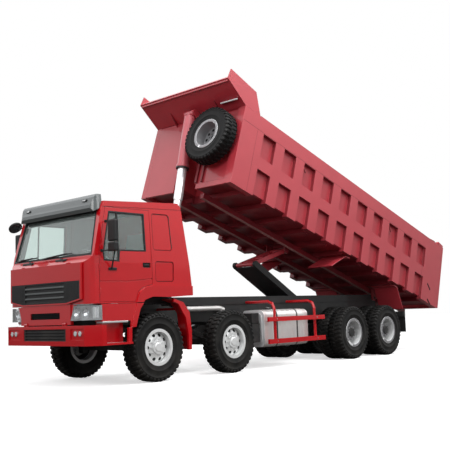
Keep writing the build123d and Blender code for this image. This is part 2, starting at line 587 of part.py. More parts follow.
def rim_section(middle_y):
    """The rim's drum with its two flanges."""
    half = TYRE_W / 2 - RIM_INSET
    outer, inner = TYRE_R + TYRE_BEAD_R, TYRE_R + TYRE_BEAD_R - RIM_WALL
    flange = TYRE_R + RIM_FLANGE_R
    return [
        (middle_y - half - 9, inner), (middle_y - half - 9, flange),
        (middle_y - half, flange), (middle_y - half, outer),
        (middle_y + half, outer), (middle_y + half, flange),
        (middle_y + half + 9, flange), (middle_y + half + 9, inner),
    ]


def ring(y, radii):
    """A flat ring's section between two y values and two radii."""
    low, high = TYRE_R + radii[0], TYRE_R + radii[1]
    return [(y[0], low), (y[0], high), (y[1], high), (y[1], low)]


WHEELS = [
    (f"{side_name}_{number}", axle_x, side, twin)
    for number, axle_x, twin in AXLES
    for side_name, side in (("left", 1), ("right", -1))
]

for name, axle_x, side, twin in WHEELS:
    centres = (TWIN_OUTER_Y, TWIN_OUTER_Y - TWIN_SPACING) if twin else (FRONT_TRACK_HALF,)
    bore = (DRIVE_SHAFT_R if twin else SPINDLE_R) + RUNNING_GAP
    tyres = []
    for row, y in enumerate(centres):
        tyres.append(Pos(axle_x, side * y, TYRE_R) * (lug_tyre if row == 0 else plain_tyre))
    write(f"tyre_{name}", Compound(children=tyres))
    with BuildPart() as rim:
        turned(axle_x, [rim_section(side * y) for y in centres])
        between_y = TWIN_OUTER_Y - TWIN_SPACING / 2
        if twin:
            disc_y = (between_y - REAR_DISC_HALF, between_y + REAR_DISC_HALF)
            hub_y = (disc_y[0] - REAR_HUB_INSIDE, REAR_HUB_END_Y)
        else:
            hub_y = (FRONT_TRACK_HALF + FRONT_HUB_Y[0], FRONT_TRACK_HALF + FRONT_HUB_Y[1])
        hub_y = sorted(side * y for y in hub_y)
        turned(axle_x, [ring(hub_y, (bore, HUB_R * (1.0 if twin else FRONT_HUB_SHARE)))])
        if twin:
            turned(axle_x, [ring(sorted(side * y for y in disc_y), (bore, DRUM_R + 1))])
        else:
            turned(axle_x, [[(side * (FRONT_TRACK_HALF + y), TYRE_R + r) for y, r in FRONT_DISC]])
        # hand holes through the disc, and the nuts round the hub
        face_y = centres[0] + 60 if not twin else between_y
        for count, ring_r, radius, depth, mode in (
            (HAND_HOLES, HAND_HOLE_RING, HAND_HOLE_R, 60, Mode.SUBTRACT),
            (NUTS, NUT_RING, NUT_R, 50, Mode.ADD),
        ):
            low_y = face_y if mode == Mode.ADD else face_y - depth
            for k in range(count):
                angle = 2 * pi * (k + 0.5) / count
                x, z = axle_x + ring_r * sin(angle), TYRE_R + ring_r * cos(angle)
                if mode == Mode.SUBTRACT or not twin:
                    cross_rod(x, z, sorted((side * low_y, side * (face_y + depth))), radius, mode)
        if twin:
            # outer face of the drums joined to the shared disc
            join_y = sorted((side * (centres[1] + 120), side * (centres[0] - 120)))
            turned(axle_x, [ring(join_y, (DRUM_R, TYRE_BEAD_R))])
    write(f"rim_{name}", rim.part)

# ================= boxes, guards and mudguards on the frame =================

with BuildPart() as fuel_tank:
    box(TANK_X, TANK_Y, TANK_Z)
    fillet(fuel_tank.edges().filter_by(Axis.X), TANK_ROUND)
    # straps
    width, proud = TANK_STRAP
    for strap_x in (TANK_X[0] + 330, TANK_X[1] - 400):
        with BuildSketch(Plane.YZ.offset(strap_x)) as strap:
            with Locations((sum(TANK_Y) / 2, sum(TANK_Z) / 2)):
                wide, high = TANK_Y[1] - TANK_Y[0] + 2 * proud, TANK_Z[1] - TANK_Z[0] + 2 * proud
                RectangleRounded(wide, high, TANK_ROUND + proud)
        extrude(strap.sketch, amount=width)
    rod((TANK_X[1] - 320, 880, TANK_Z[1] - 10), (TANK_X[1] - 320, 880, TANK_Z[1] + 45), 55)
write("fuel_tank", fuel_tank.part)

with BuildPart() as side_boxes:
    box(RIGHT_BOX_X, (-TANK_Y[1], -TANK_Y[0]), RIGHT_BOX_Z)
    box(*SMALL_BOX)
    box(SMALL_BOX_BRACKET_X, (RAIL_Y, SMALL_BOX[1][0]), SMALL_BOX_BRACKET_Z)
write("side_boxes", side_boxes.part)

with BuildPart() as side_guards:
    for side in (-1, 1):
        guard_y = sorted((side * GUARD_Y[0], side * GUARD_Y[1]))
        for rail_z in GUARD_RAIL_Z:
            box(GUARD_X, guard_y, rail_z)
        for tube_x in GUARD_TUBE_X:
            tube_y = side * (GUARD_Y[0] - GUARD_TUBE_R)
            # upright, bend in two short pieces, then the level part to the subframe
            bend = [(tube_x, tube_y - side * drop_in, GUARD_TOP_Z - drop) for drop_in, drop in GUARD_BEND]
            rod((tube_x, tube_y, GUARD_RAIL_Z[0][0]), bend[0], GUARD_TUBE_R)
            for start, end in zip(bend, bend[1:]):
                rod(start, end, GUARD_TUBE_R)
            for corner in bend:
                with Locations(corner):
                    Sphere(GUARD_TUBE_R + 0.4)
            rod(bend[-1], (tube_x, side * SUBFRAME_Y[1], GUARD_TOP_Z), GUARD_TUBE_R)
            box(
                (tube_x - 15, tube_x + 15),
                sorted((tube_y, side * GUARD_Y[0])),
                (GUARD_RAIL_Z[0][0], GUARD_RAIL_Z[1][1]),
            )
write("side_guards", side_guards.part)

with BuildPart() as exhaust_pipe:
    (front_x, middle_x, rear_x), (level_z, end_z) = EXHAUST_X, EXHAUST_Z
    rod((front_x, EXHAUST_Y, level_z), (middle_x, EXHAUST_Y, level_z), EXHAUST_R)
    rod((middle_x + 20, EXHAUST_Y, level_z), (rear_x, EXHAUST_Y, end_z), EXHAUST_TAIL_R)
    box(EXHAUST_BRACKET_X, (RAIL_Y, EXHAUST_Y - 20), EXHAUST_BRACKET_Z)
write("exhaust_pipe", exhaust_pipe.part)

with BuildPart() as front_mudguards:
    tyre_rear = STEERED_X[0] - TYRE_R
    for side in (-1, 1):
        band = [(tyre_rear + x, z) for x, z in GUARD_BAND_OUTER + GUARD_BAND_INNER[::-1]]
        side_plate(band, sorted((side * GUARD_BAND_Y[0], side * GUARD_BAND_Y[1])))
        lower_face = [(x + GUARD_SHEET_T, z - GUARD_SHEET_T + 2) for x, z in GUARD_BAND_OUTER[:-1]]
        lower_face.append((GUARD_BAND_OUTER[-1][0] + GUARD_SHEET_T, GUARD_BAND_OUTER[-1][1]))
        sheet = [(tyre_rear + x, z) for x, z in list(GUARD_BAND_OUTER) + lower_face[::-1]]
        side_plate(sheet, sorted((side * GUARD_SHEET_INNER_Y, side * (GUARD_BAND_Y[0] + 1))))
        arm_x = (tyre_rear + GUARD_ARM_X[0], tyre_rear + GUARD_ARM_X[1])
        box(arm_x, (side * RAIL_Y, side * (GUARD_SHEET_INNER_Y + 40)), GUARD_ARM_Z)
write("front_mudguards", front_mudguards.part)

with BuildPart() as mudguards:
    for side in (-1, 1):
        # flap behind the last axle, under the tail bar
        box((bar_rear, bar_rear + FLAP_T), sorted(side * y for y in FLAP_Y), (FLAP_LOW_Z, TAIL_BAR_Z[0]))
write("mudguards", mudguards.part)

# ================= bumper, steps and lamps =================


def bumper_outline(inset):
    """Plan of the bumper's outside, moved inwards."""
    (front_x, front_y), (corner_x, corner_y), (rear_x, _) = BUMPER_PLAN
    half = [
        (front_x - inset, front_y - inset * 0.35),
        (corner_x - inset * 0.6, corner_y - inset),
        (rear_x, corner_y - inset),
    ]
    return half + [(x, -y) for x, y in reversed(half)]


def bumper_band(z, thickness, mode=Mode.ADD):
    """The bumper's band between two heights."""
    with BuildSketch(Plane.XY.offset(z[0])) as band:
        with BuildLine():
            Polyline(*bumper_outline(0), close=True)
        make_face()
        with BuildLine():
            Polyline(*bumper_outline(thickness), close=True)
        make_face(mode=Mode.SUBTRACT)
    extrude(band.sketch, amount=z[1] - z[0], mode=mode)


with BuildPart() as front_bumper:
    bumper_band(BUMPER_Z, BUMPER_T)
    # low sides that carry the bottom step
    (front_x, _), (_, side_y), _ = BUMPER_PLAN
    both_sides((400, BUMPER_SIDE_X[1]), (CAB_HALF - 50, side_y + 30), (BUMPER_SIDE_TOP, 1000), Mode.SUBTRACT)
    both_sides((600, BUMPER_SIDE_X[0]), (500, side_y + 30), (600, 1000), Mode.SUBTRACT)
    # recesses for the middle grille and for the lamps, with the lamps' bodies
    half, low_z, high_z = BUMPER_INSERT
    box((front_x - BUMPER_INSERT_DEPTH, front_x + 10), (-half, half), (low_z, high_z), Mode.SUBTRACT)
    for side in (-1, 1):
        recess_y = sorted((side * FOG_RECESS[0], side * FOG_RECESS[1]))
        box((front_x - 16, front_x + 10), recess_y, FOG_RECESS[2:], Mode.SUBTRACT)
        for lamp_y, lamp_z in FOG_LAMPS:
            rod((front_x - 20, side * lamp_y, lamp_z), (front_x - 3, side * lamp_y, lamp_z), FOG_LAMP_R)
    # arms that tie the steps to the frame
    both_sides(STEP_ARM_X, (RAIL_Y, STEP_WALL_Y[1]), STEP_ARM_Z)
    both_sides(STEP_ARM_X, (RAIL_Y - 60, RAIL_Y), (STEP_ARM_Z[0], RAIL_Z[0]))
    # ears of the cab's tilting pivot
    for side in (-1, 1):
        for ear_y in (CAB_EYE_Y[0] - 2 - CAB_EAR_T, CAB_EYE_Y[1] + 2):
            y = sorted((side * ear_y, side * (ear_y + CAB_EAR_T)))
            cross_rod(CAB_PIVOT[0], CAB_PIVOT[1], y, CAB_EYE_R)
            box((CAB_PIVOT[0] - CAB_EYE_R, CAB_PIVOT[0] + CAB_EYE_R), y, (BUMPER_Z[1] - 5, CAB_PIVOT[1]))
        cross_rod(
            CAB_PIVOT[0], CAB_PIVOT[1],
            sorted((side * (CAB_EYE_Y[0] - 2), side * (CAB_EYE_Y[1] + 2))), CAB_PIVOT_R,
        )
    # steps under the doors: outer skin, arch moulding, inner wall and two treads
    for side in (-1, 1):
        side_plate(STEP_SKIN, sorted((side * STEP_Y[0], side * STEP_Y[1])))
        side_plate(STEP_MOULDING, sorted((side * STEP_Y[0], side * (STEP_Y[1] + 12))))
        shelf_y = sorted((side * STEP_WALL_Y[0], side * STEP_Y[1]))
        box((STEP_SKIN[5][0], STEP_SKIN[0][0]), shelf_y, STEP_SHELF_Z)
        wall_y = sorted((side * STEP_WALL_Y[0], side * STEP_WALL_Y[1]))
        box(BUMPER_SIDE_X, wall_y, (STEP_TREADS[1][3], STEP_SKIN[0][1]))
        for rear_x, front_end, past, low_z, high_z in STEP_TREADS:
            tread_y = sorted((side * STEP_WALL_Y[0], side * (CAB_HALF + past)))
            box((rear_x, front_end), tread_y, (low_z, high_z))
write("front_bumper", front_bumper.part)

with BuildPart() as bumper_grille:
    half, low_z, high_z = BUMPER_INSERT
    box((front_x - BUMPER_INSERT_DEPTH, front_x - 8), (-half, half), (low_z, high_z))
    slat_pitch = (high_z - low_z) / BUMPER_SLOTS
    for k in range(BUMPER_SLOTS):
        slot_z = low_z + slat_pitch * (k + 0.5)
        box(
            (front_x - BUMPER_INSERT_DEPTH + 8, front_x), (40 - half, half - 40),
            (slot_z - slat_pitch * 0.3, slot_z + slat_pitch * 0.3), Mode.SUBTRACT,
        )
write("bumper_grille", bumper_grille.part)

# ================= cab =================


def cab_volume(inset):
    """The cab's closed outer form moved inwards on every side."""
    half, roof_half = CAB_HALF - inset, CAB_ROOF_HALF - inset
    low_z, high_z = CAB_SIDE[8][1], CAB_SIDE[3][1] + 10
    rear_x, nose_x = CAB_SIDE[0][0] - 5, CAB_SIDE[8][0] - inset
    with BuildPart() as volume:
        side_plate(CAB_SIDE, (-CAB_HALF, CAB_HALF), inset=inset)
        with BuildSketch(Plane.YZ.offset(CAB_SIDE[0][0] - 10)) as front_view:
            with BuildLine():
                Polyline(
                    (-half, low_z), (-half, CAB_BELT_Z), (-roof_half, high_z),
                    (roof_half, high_z), (half, CAB_BELT_Z), (half, low_z), close=True,
                )
            make_face()
        extrude(front_view.sketch, amount=2300, mode=Mode.INTERSECT)
        # plan with round front corners
        with BuildSketch(Plane.XY.offset(low_z)) as plan:
            with Locations(((rear_x + nose_x) / 2, 0)):
                Rectangle(nose_x - rear_x, 2 * half)
            fillet(plan.vertices().sort_by(Axis.X)[-2:], CAB_CORNER_R - inset)
        extrude(plan.sketch, amount=high_z - low_z, mode=Mode.INTERSECT)
    return volume.part


def side_pressing(outline, depth):
    """What a pressed area removes from both sides of the cab."""
    with BuildPart() as pressing:
        add(cab_outer)
        add(cab_volume(depth), mode=Mode.SUBTRACT)
        side_plate(outline, (-CAB_HALF - 5, CAB_HALF + 5), Mode.INTERSECT)
    return pressing.part


def door_prism(gap):
    """The left door's outline, grown by a gap, through the cab's wall but not its sill."""
    inner_y = CAB_ROOF_HALF - CAB_WALL - 20
    with BuildPart() as prism:
        side_plate(DOOR, (inner_y, CAB_HALF + 50), inset=-gap)
        box(
            (DOOR[0][0] - 50, DOOR[3][0] + 50), (inner_y - 1, CAB_HALF - CAB_WALL - gap),
            (CAB_SIDE[8][1], DOOR[0][1] + 80), Mode.SUBTRACT,
        )
    return prism.part


cab_outer = cab_volume(0)
cab_inner = cab_volume(CAB_WALL)
glass_outer = cab_volume((CAB_WALL - GLASS_T) / 2)
glass_inner = cab_volume((CAB_WALL + GLASS_T) / 2)
door_hole = door_prism(BODY_GAP / 2)
door_slab = door_prism(-BODY_GAP / 2)
shell_outlines = (SLEEPER_UPPER, SLEEPER_LOWER, ROOF_LINE)
shell_pressings = [side_pressing(outline, PRESSED_DEPTH) for outline in shell_outlines]
door_pressings = [side_pressing(DOOR_CREASE, PRESSED_DEPTH), side_pressing(HANDLE_RECESS, HANDLE_DEPTH)]
hinge_x = DOOR[3][0]


def hinge_stack(side, low, high, radius, mode=Mode.ADD):
    """Upright cylinders on a door's axis, placed by height from each hinge's middle."""
    for z in DOOR_HINGE_Z:
        rod((hinge_x, side * CAB_HALF, z + low), (hinge_x, side * CAB_HALF, z + high), radius, mode)


door_holes = {"left": door_hole, "right": mirror(door_hole, about=Plane.XZ)}
door_slabs = {"left": door_slab, "right": mirror(door_slab, about=Plane.XZ)}

with BuildPart() as cab_shell:
    add(cab_outer)
    add(cab_inner, mode=Mode.SUBTRACT)
    for hole in door_holes.values():
        add(hole, mode=Mode.SUBTRACT)
    # windscreen opening
    with BuildSketch(Plane.YZ.offset(WINDSCREEN_X[0])) as opening:
        with BuildLine():
            (low_y, low_z), (high_y, high_z) = WINDSCREEN
            Polyline((-low_y, low_z), (low_y, low_z), (high_y, high_z), (-high_y, high_z), close=True)
        make_face()
    extrude(opening.sketch, amount=WINDSCREEN_X[1] - WINDSCREEN_X[0], mode=Mode.SUBTRACT)
    for pressing in shell_pressings:
        add(pressing, mode=Mode.SUBTRACT)
    # moulding round the wheel arch
    for side in (-1, 1):
        side_plate(ARCH_OUTER + ARCH_INNER[::-1], sorted((side * ARCH_Y[0], side * ARCH_Y[1])))
    # front panel under the lid, with a slot for air and notches for the pivot's ears
    panel_y = (-LAMP_Y[0] + 5, LAMP_Y[0] - 5)
    box(CAB_FRONT_PANEL_X, panel_y, CAB_FRONT_PANEL_Z)
    box((CAB_FRONT_PANEL_X[0], CAB_SIDE[7][0]), panel_y, (CAB_FRONT_PANEL_Z[1] - 8, CAB_SIDE[8][1] + 2))
    # corners of the panel that follow the headlamps' inner edges
    panel_end, (lamp_low, lamp_high) = panel_y[1], LAMP_Z
    leaning_end, panel_top = panel_end + LAMP_LEAN, lamp_high + 14
    for side in (-1, 1):
        with BuildSketch(Plane.YZ.offset(CAB_FRONT_PANEL_X[0])) as panel_corner:
            with BuildLine():
                Polyline(
                    (side * (panel_end - 1), lamp_low), (side * panel_end, lamp_low),
                    (side * leaning_end, lamp_high), (side * leaning_end, panel_top),
                    (side * (panel_end - 1), panel_top), close=True,
                )
            make_face()
        extrude(panel_corner.sketch, amount=LAMP_PLAN[1][0] - CAB_FRONT_PANEL_X[0] - 5)
    slot_half, slot_low, slot_high = LOWER_SLOT
    slot_x = (CAB_FRONT_PANEL_X[1] - 30, CAB_FRONT_PANEL_X[1] + 5)
    box(slot_x, (-slot_half, slot_half), (slot_low, slot_high), Mode.SUBTRACT)
    notch_x = (CAB_FRONT_PANEL_X[0] - 5, CAB_FRONT_PANEL_X[1] + 30)
    notch_z = (CAB_FRONT_PANEL_Z[0] - 5, CAB_PIVOT[1] + CAB_EYE_R + 5)
    for side in (-1, 1):
        notch_y = (side * (CAB_EYE_Y[0] - CAB_EAR_T - 8), side * (CAB_EYE_Y[1] + CAB_EAR_T + 8))
        box(notch_x, notch_y, notch_z, Mode.SUBTRACT)
        eye_y = sorted((side * CAB_EYE_Y[0], side * CAB_EYE_Y[1]))
        cross_rod(CAB_PIVOT[0], CAB_PIVOT[1], eye_y, CAB_EYE_R)
        box((CAB_PIVOT[0] - 18, CAB_PIVOT[0] + 2), eye_y, (CAB_PIVOT[1], CAB_PIVOT[1] + CAB_EYE_R + 20))
        cross_rod(CAB_PIVOT[0], CAB_PIVOT[1], eye_y, CAB_PIVOT_R + RUNNING_GAP, Mode.SUBTRACT)
    # ears and pins of the front lid's hinge
    for side in (-1, 1):
        ear_y = sorted((side * (LID_EYE_Y[1] + 1), side * (LID_EYE_Y[1] + 1 + LID_EAR_T)))
        box((CAB_SIDE[7][0] - 12, LID_PIVOT[0]), ear_y, (LID_PIVOT[1] - 6, LID_PIVOT[1] + LID_EYE_R))
        cross_rod(*LID_PIVOT, ear_y, LID_EYE_R)
        cross_rod(*LID_PIVOT, sorted((side * LID_EYE_Y[0], side * (LID_EYE_Y[1] + 2))), LID_PIN_R)
    # door hinges: room for each door's eye, then the ears and the pin through it
    for side in (-1, 1):
        hinge_stack(side, -DOOR_EYE_HALF - 1, DOOR_EYE_HALF + 1, DOOR_KNUCKLE_R + BODY_GAP / 2, Mode.SUBTRACT)
        hinge_stack(side, -DOOR_EYE_HALF - 1 - DOOR_EAR_H, -DOOR_EYE_HALF - 1, DOOR_KNUCKLE_R)
        hinge_stack(side, DOOR_EYE_HALF + 1, DOOR_EYE_HALF + 1 + DOOR_EAR_H, DOOR_KNUCKLE_R)
        hinge_stack(side, -DOOR_EYE_HALF - 2, DOOR_EYE_HALF + 2, DOOR_PIN_R)
write("cab_shell", cab_shell.part)

for side_name, side in (("left", 1), ("right", -1)):
    with BuildPart() as door:
        add(cab_outer)
        add(cab_inner, mode=Mode.SUBTRACT)
        add(door_slabs[side_name], mode=Mode.INTERSECT)
        side_plate(DOOR_WINDOW, (-CAB_HALF - 50, CAB_HALF + 50), Mode.SUBTRACT)
        for pressing in door_pressings:
            add(pressing, mode=Mode.SUBTRACT)
        room = DOOR_EYE_HALF + DOOR_EAR_H + 4
        hinge_stack(side, -room, room, DOOR_KNUCKLE_R + BODY_GAP / 2, Mode.SUBTRACT)
        hinge_stack(side, -DOOR_EYE_HALF, DOOR_EYE_HALF, DOOR_KNUCKLE_R)
        for z in DOOR_HINGE_Z:
            tab_y = sorted((side * (CAB_HALF - 10), side * (CAB_HALF + 4)))
            box((hinge_x - DOOR_KNUCKLE_R - 20, hinge_x - 3), tab_y, (z - DOOR_EYE_HALF, z + DOOR_EYE_HALF))
        hinge_stack(side, -DOOR_EYE_HALF - 1, DOOR_EYE_HALF + 1, DOOR_PIN_R + RUNNING_GAP, Mode.SUBTRACT)
    write(f"door_{side_name}", door.part)

    with BuildPart() as door_glass:
        add(glass_outer)
        add(glass_inner, mode=Mode.SUBTRACT)
        if side_name == "left":
            side_plate(DOOR_WINDOW, (0, CAB_HALF + 50), Mode.INTERSECT)
        else:
            side_plate(DOOR_WINDOW, (-CAB_HALF - 50, 0), Mode.INTERSECT)
    write(f"door_glass_{side_name}", door_glass.part)

    with BuildPart() as mirrors:
        side = 1 if side_name == "left" else -1
        # arms from the door's front edge, then the two housings
        rear_x, inner, outer = MIRROR_PLACE[side_name]
        post = (rear_x + 15, side * (CAB_HALF + (inner + outer) / 2))
        for start_x, inboard, z in MIRROR_ARMS:
            rod((start_x, side * (CAB_HALF - inboard), z), (*post, z), MIRROR_ROD_R)
        rod((*post, MIRROR_ARMS[0][2] - 25), (*post, MIRROR_ARMS[1][2] + 20), MIRROR_ROD_R)
        for low_z, high_z in MIRROR_HOUSING_Z:
            housing_y = (side * (CAB_HALF + inner), side * (CAB_HALF + outer))
            box((rear_x, rear_x + MIRROR_DEPTH), housing_y, (low_z, high_z))
        if side_name == "right":
            # round mirror on its own arm at the door's top corner
            (middle_x, past, middle_z), (lean_x, lean_y, lean_z) = ROUND_MIRROR, ROUND_MIRROR_AXIS
            middle = Vector(middle_x, side * (CAB_HALF + past), middle_z)
            reach = Vector(lean_x, side * lean_y, lean_z) * (ROUND_MIRROR_DEPTH / 2)
            rod(tuple(middle - reach), tuple(middle + reach), ROUND_MIRROR_R)
            root_x, inboard, drop = ROUND_MIRROR_ROOT
            rod((root_x, side * (CAB_HALF - inboard), middle_z - drop), tuple(middle), MIRROR_ROD_R)
    write(f"mirrors_{side_name}", mirrors.part)

with BuildPart() as windscreen:
    add(glass_outer)
    add(glass_inner, mode=Mode.SUBTRACT)
    extrude(opening.sketch, amount=WINDSCREEN_X[1] - WINDSCREEN_X[0], mode=Mode.INTERSECT)
write("windscreen", windscreen.part)

with BuildPart() as visor:
    side_plate(VISOR_SIDE, (-VISOR_HALF, VISOR_HALF))
    # its ends curve back, lean in and are round at the top
    visor_low, visor_high = VISOR_SIDE[1][1] - 5, VISOR_SIDE[6][1]
    with BuildSketch(Plane.XY.offset(visor_low)) as visor_plan:
        with Locations((VISOR_SIDE[2][0] - 200, 0)):
            Rectangle(400, 2 * VISOR_HALF)
        fillet(visor_plan.vertices().sort_by(Axis.X)[-2:], VISOR_FRONT_ROUND)
    extrude(visor_plan.sketch, amount=400, taper=VISOR_TAPER, mode=Mode.INTERSECT)
    with BuildSketch(Plane.YZ.offset(VISOR_SIDE[7][0] - 10)) as visor_front:
        with Locations((0, (visor_low - 10 + visor_high) / 2)):
            Rectangle(2 * VISOR_HALF, visor_high - visor_low + 10)
        fillet(visor_front.vertices().sort_by(Axis.Y)[-2:], VISOR_TOP_ROUND)
    extrude(visor_front.sketch, amount=300, mode=Mode.INTERSECT)
write("visor", visor.part)

with BuildPart() as headlamps:
    for side in (-1, 1):
        with BuildSketch(Plane.XY.offset(LAMP_Z[0])) as lamp_plan:
            with BuildLine():
                Polyline(*[(x, side * y) for x, y in LAMP_PLAN], close=True)
            make_face()
        extrude(lamp_plan.sketch, amount=LAMP_Z[1] - LAMP_Z[0])
        # inner edge, leaning out towards the top
        inner_y = LAMP_PLAN[0][1]
        with BuildSketch(Plane.YZ.offset(LAMP_PLAN[3][0] - 5)) as lamp_lean:
            with BuildLine():
                Polyline(
                    (side * inner_y, LAMP_Z[0]), (side * (inner_y + LAMP_LEAN), LAMP_Z[1]),
                    (side * (inner_y + LAMP_LEAN), LAMP_Z[1] + 5), (side * (inner_y - 5), LAMP_Z[1] + 5),
                    (side * (inner_y - 5), LAMP_Z[0]), close=True,
                )
            make_face()
        extrude(lamp_lean.sketch, amount=LAMP_PLAN[0][0] - LAMP_PLAN[3][0] + 10, mode=Mode.SUBTRACT)
write("headlamps", headlamps.part)

with BuildPart() as cab_interior:
    dash_half = CAB_HALF - 170
    side_plate(
        ((980, 1900), (1020, 2005), (1205, 2005), (1270, 1900), (1270, 1700), (1080, 1700)),
        (-dash_half, dash_half),
    )
    wheel_centre, wheel_axis = Vector(820, 560, 2060), Vector(-0.45, 0, 0.9).normalized()
    rod((1010, 560, 1800), tuple(wheel_centre), 22)
    with BuildSketch(Plane(origin=wheel_centre - wheel_axis * 14, z_dir=wheel_axis)) as hoop:
        Circle(240)
        Circle(208, mode=Mode.SUBTRACT)
        Rectangle(430, 40)
    extrude(hoop.sketch, amount=28)
    box((1080, 1270), (-80, 80), (CAB_SIDE[8][1] + CAB_WALL, 1700))
    # two seats
    for y in (560, -560):
        box((-50, 450), (y - 250, y + 250), (1500 + CAB_WALL, 1780))
        side_plate(((-50, 1760), (60, 1760), (-60, 2450), (-170, 2450)), (y - 240, y + 240))
write("cab_interior", cab_interior.part)

with BuildPart() as front_lid:
    with BuildSketch(Plane.YZ.offset(LID_X[0])) as lid_face:
        with BuildLine():
            Polyline(*LID_OUTLINE, close=True)
        make_face()
    extrude(lid_face.sketch, amount=LID_X[1] - LID_X[0])
    with BuildSketch(Plane.YZ.offset(LID_X[1] - GRILLE_DEPTH)) as grille_face:
        with BuildLine():
            (_, _, (side_y, side_z), (base_y, base_z), _, _) = LID_OUTLINE
            Polyline(
                (-side_y + 25, GRILLE_TOP_Z), (side_y - 25, GRILLE_TOP_Z), (side_y - 25, side_z + 16),
                (base_y - 6, base_z + 22), (-base_y + 6, base_z + 22), (-side_y + 25, side_z + 16),
                close=True,
            )
        make_face()
    extrude(grille_face.sketch, amount=GRILLE_DEPTH, mode=Mode.SUBTRACT)
    for side in (-1, 1):
        eye_y = sorted((side * LID_EYE_Y[0], side * LID_EYE_Y[1]))
        cross_rod(*LID_PIVOT, eye_y, LID_EYE_R)
        box(
            (LID_PIVOT[0] - LID_EYE_R, LID_PIVOT[0] + LID_EYE_R), eye_y,
            (LID_OUTLINE[0][1] - 5, LID_PIVOT[1]),
        )
        cross_rod(*LID_PIVOT, eye_y, LID_PIN_R + RUNNING_GAP, Mode.SUBTRACT)
write("front_lid", front_lid.part)

with BuildPart() as grille:
    extrude(grille_face.sketch, amount=GRILLE_DEPTH - 4)
    slot_x = (LID_X[1] - GRILLE_DEPTH + 6, LID_X[1])
    for slot_z in GRILLE_SLOT_Z:
        box(slot_x, (-GRILLE_SLOT_HALF, GRILLE_SLOT_HALF), slot_z, Mode.SUBTRACT)
write("grille", grille.part)

# ================= bed =================

with BuildPart() as bed_floor:
    bed_box((BED_U[0] + 40, HEADBOARD_U[0]), (-SIDE_INNER_Y, SIDE_INNER_Y), FLOOR_V)
    for i in range(BAY_COUNT + 1):
        u = BAY_FIRST_U + BAY_LENGTH + 60 - BAY_PITCH * i
        bed_box((u, u + CROSS_BEAM_T), (-SIDE_INNER_Y, SIDE_INNER_Y), (RUNNER_V[1], FLOOR_V[0]))
    for side in (-1, 1):
        y = sorted((side * RUNNER_Y[0], side * RUNNER_Y[1]))
        bed_box((BED_U[0] + 60, HEADBOARD_U[0] - 60), y, (RUNNER_V[0], RUNNER_V[1]))
        # pivot plates under the runners, outside the frame's ears
        eye_y = sorted((side * BED_EYE_Y[0], side * BED_EYE_Y[1]))
        bed_plate(((-170, RUNNER_V[1]), (-BED_EYE_R, 0), (BED_EYE_R, 0), (170, RUNNER_V[1])), eye_y)
        cross_rod(PIVOT_X, PIVOT_Z, eye_y, BED_EYE_R)
        cross_rod(PIVOT_X, PIVOT_Z, eye_y, PIVOT_R + RUNNING_GAP, Mode.SUBTRACT)
        foot_y = sorted((side * RUNNER_Y[1], side * BED_EYE_Y[1]))
        bed_box((-170, 170), foot_y, (RUNNER_V[1] - 20, RUNNER_V[1]))
        # ears for the stabiliser's upper arm
        ear = sorted(side * y for y in STAY_BED_EAR_Y)
        bed_plate(
            (
                (STAY_BED[0] - 110, RUNNER_V[1] + 5), (STAY_BED[0] - 45, STAY_BED[1] - 50),
                (STAY_BED[0] + 45, STAY_BED[1] - 50), (STAY_BED[0] + 110, RUNNER_V[1] + 5),
            ),
            ear,
        )
        bed_box(
            (STAY_BED[0] - 110, STAY_BED[0] + 110),
            sorted((side * STAY_BED_EAR_Y[0], side * RUNNER_Y[0])),
            (RUNNER_V[1] - 30, RUNNER_V[1] + 5),
        )
    # notch that the hoist passes through
    notch_u = (HEADBOARD_U[1] - DOGHOUSE_DEPTH, HEADBOARD_U[1])
    bed_box(notch_u, (-DOGHOUSE_Y, DOGHOUSE_Y), (0, FLOOR_V[1] + 50), Mode.SUBTRACT)
write("bed_floor", raised(bed_floor.part))

with BuildPart() as bed_sides:
    for side in (-1, 1):
        side_y = sorted((side * SIDE_INNER_Y, side * BED_HALF))
        recess_y = sorted((side * RECESS_Y, side * (BED_HALF + 10)))
        through_y = sorted((side * (SIDE_INNER_Y - 10), side * (BED_HALF + 10)))
        bed_box(BED_U, side_y, BED_V)
        for i in range(BAY_COUNT):
            u = (BAY_FIRST_U - BAY_PITCH * i, BAY_FIRST_U + BAY_LENGTH - BAY_PITCH * i)
            bed_box(u, recess_y, UPPER_BAY_V, Mode.SUBTRACT)
            bed_box(u, recess_y, (LOWER_BAY_V[0] - 5, LOWER_BAY_V[1]), Mode.SUBTRACT)
            bed_box(u, through_y, (LOWER_BAY_V[0] - 5, NOTCH_V), Mode.SUBTRACT)
        # lug of the tailgate's top pivot
        lug_y = sorted((side * TAILGATE_LUG_Y[0], side * TAILGATE_LUG_Y[1]))
        pivot = TAILGATE_PIVOT
        bed_plate(
            (
                (pivot[0] - 75, BED_V[1] - 5), (pivot[0] - 30, pivot[1] + 32),
                (pivot[0] + 30, pivot[1] + 32), (pivot[0] + 110, BED_V[1] - 5),
            ),
            lug_y,
        )
        pin_x, pin_z = on_bed(*pivot)
        cross_rod(pin_x, pin_z, sorted((side * TAILGATE_LUG_Y[0], side * BED_HALF)), TAILGATE_PIN_R)
write("bed_sides", raised(bed_sides.part))

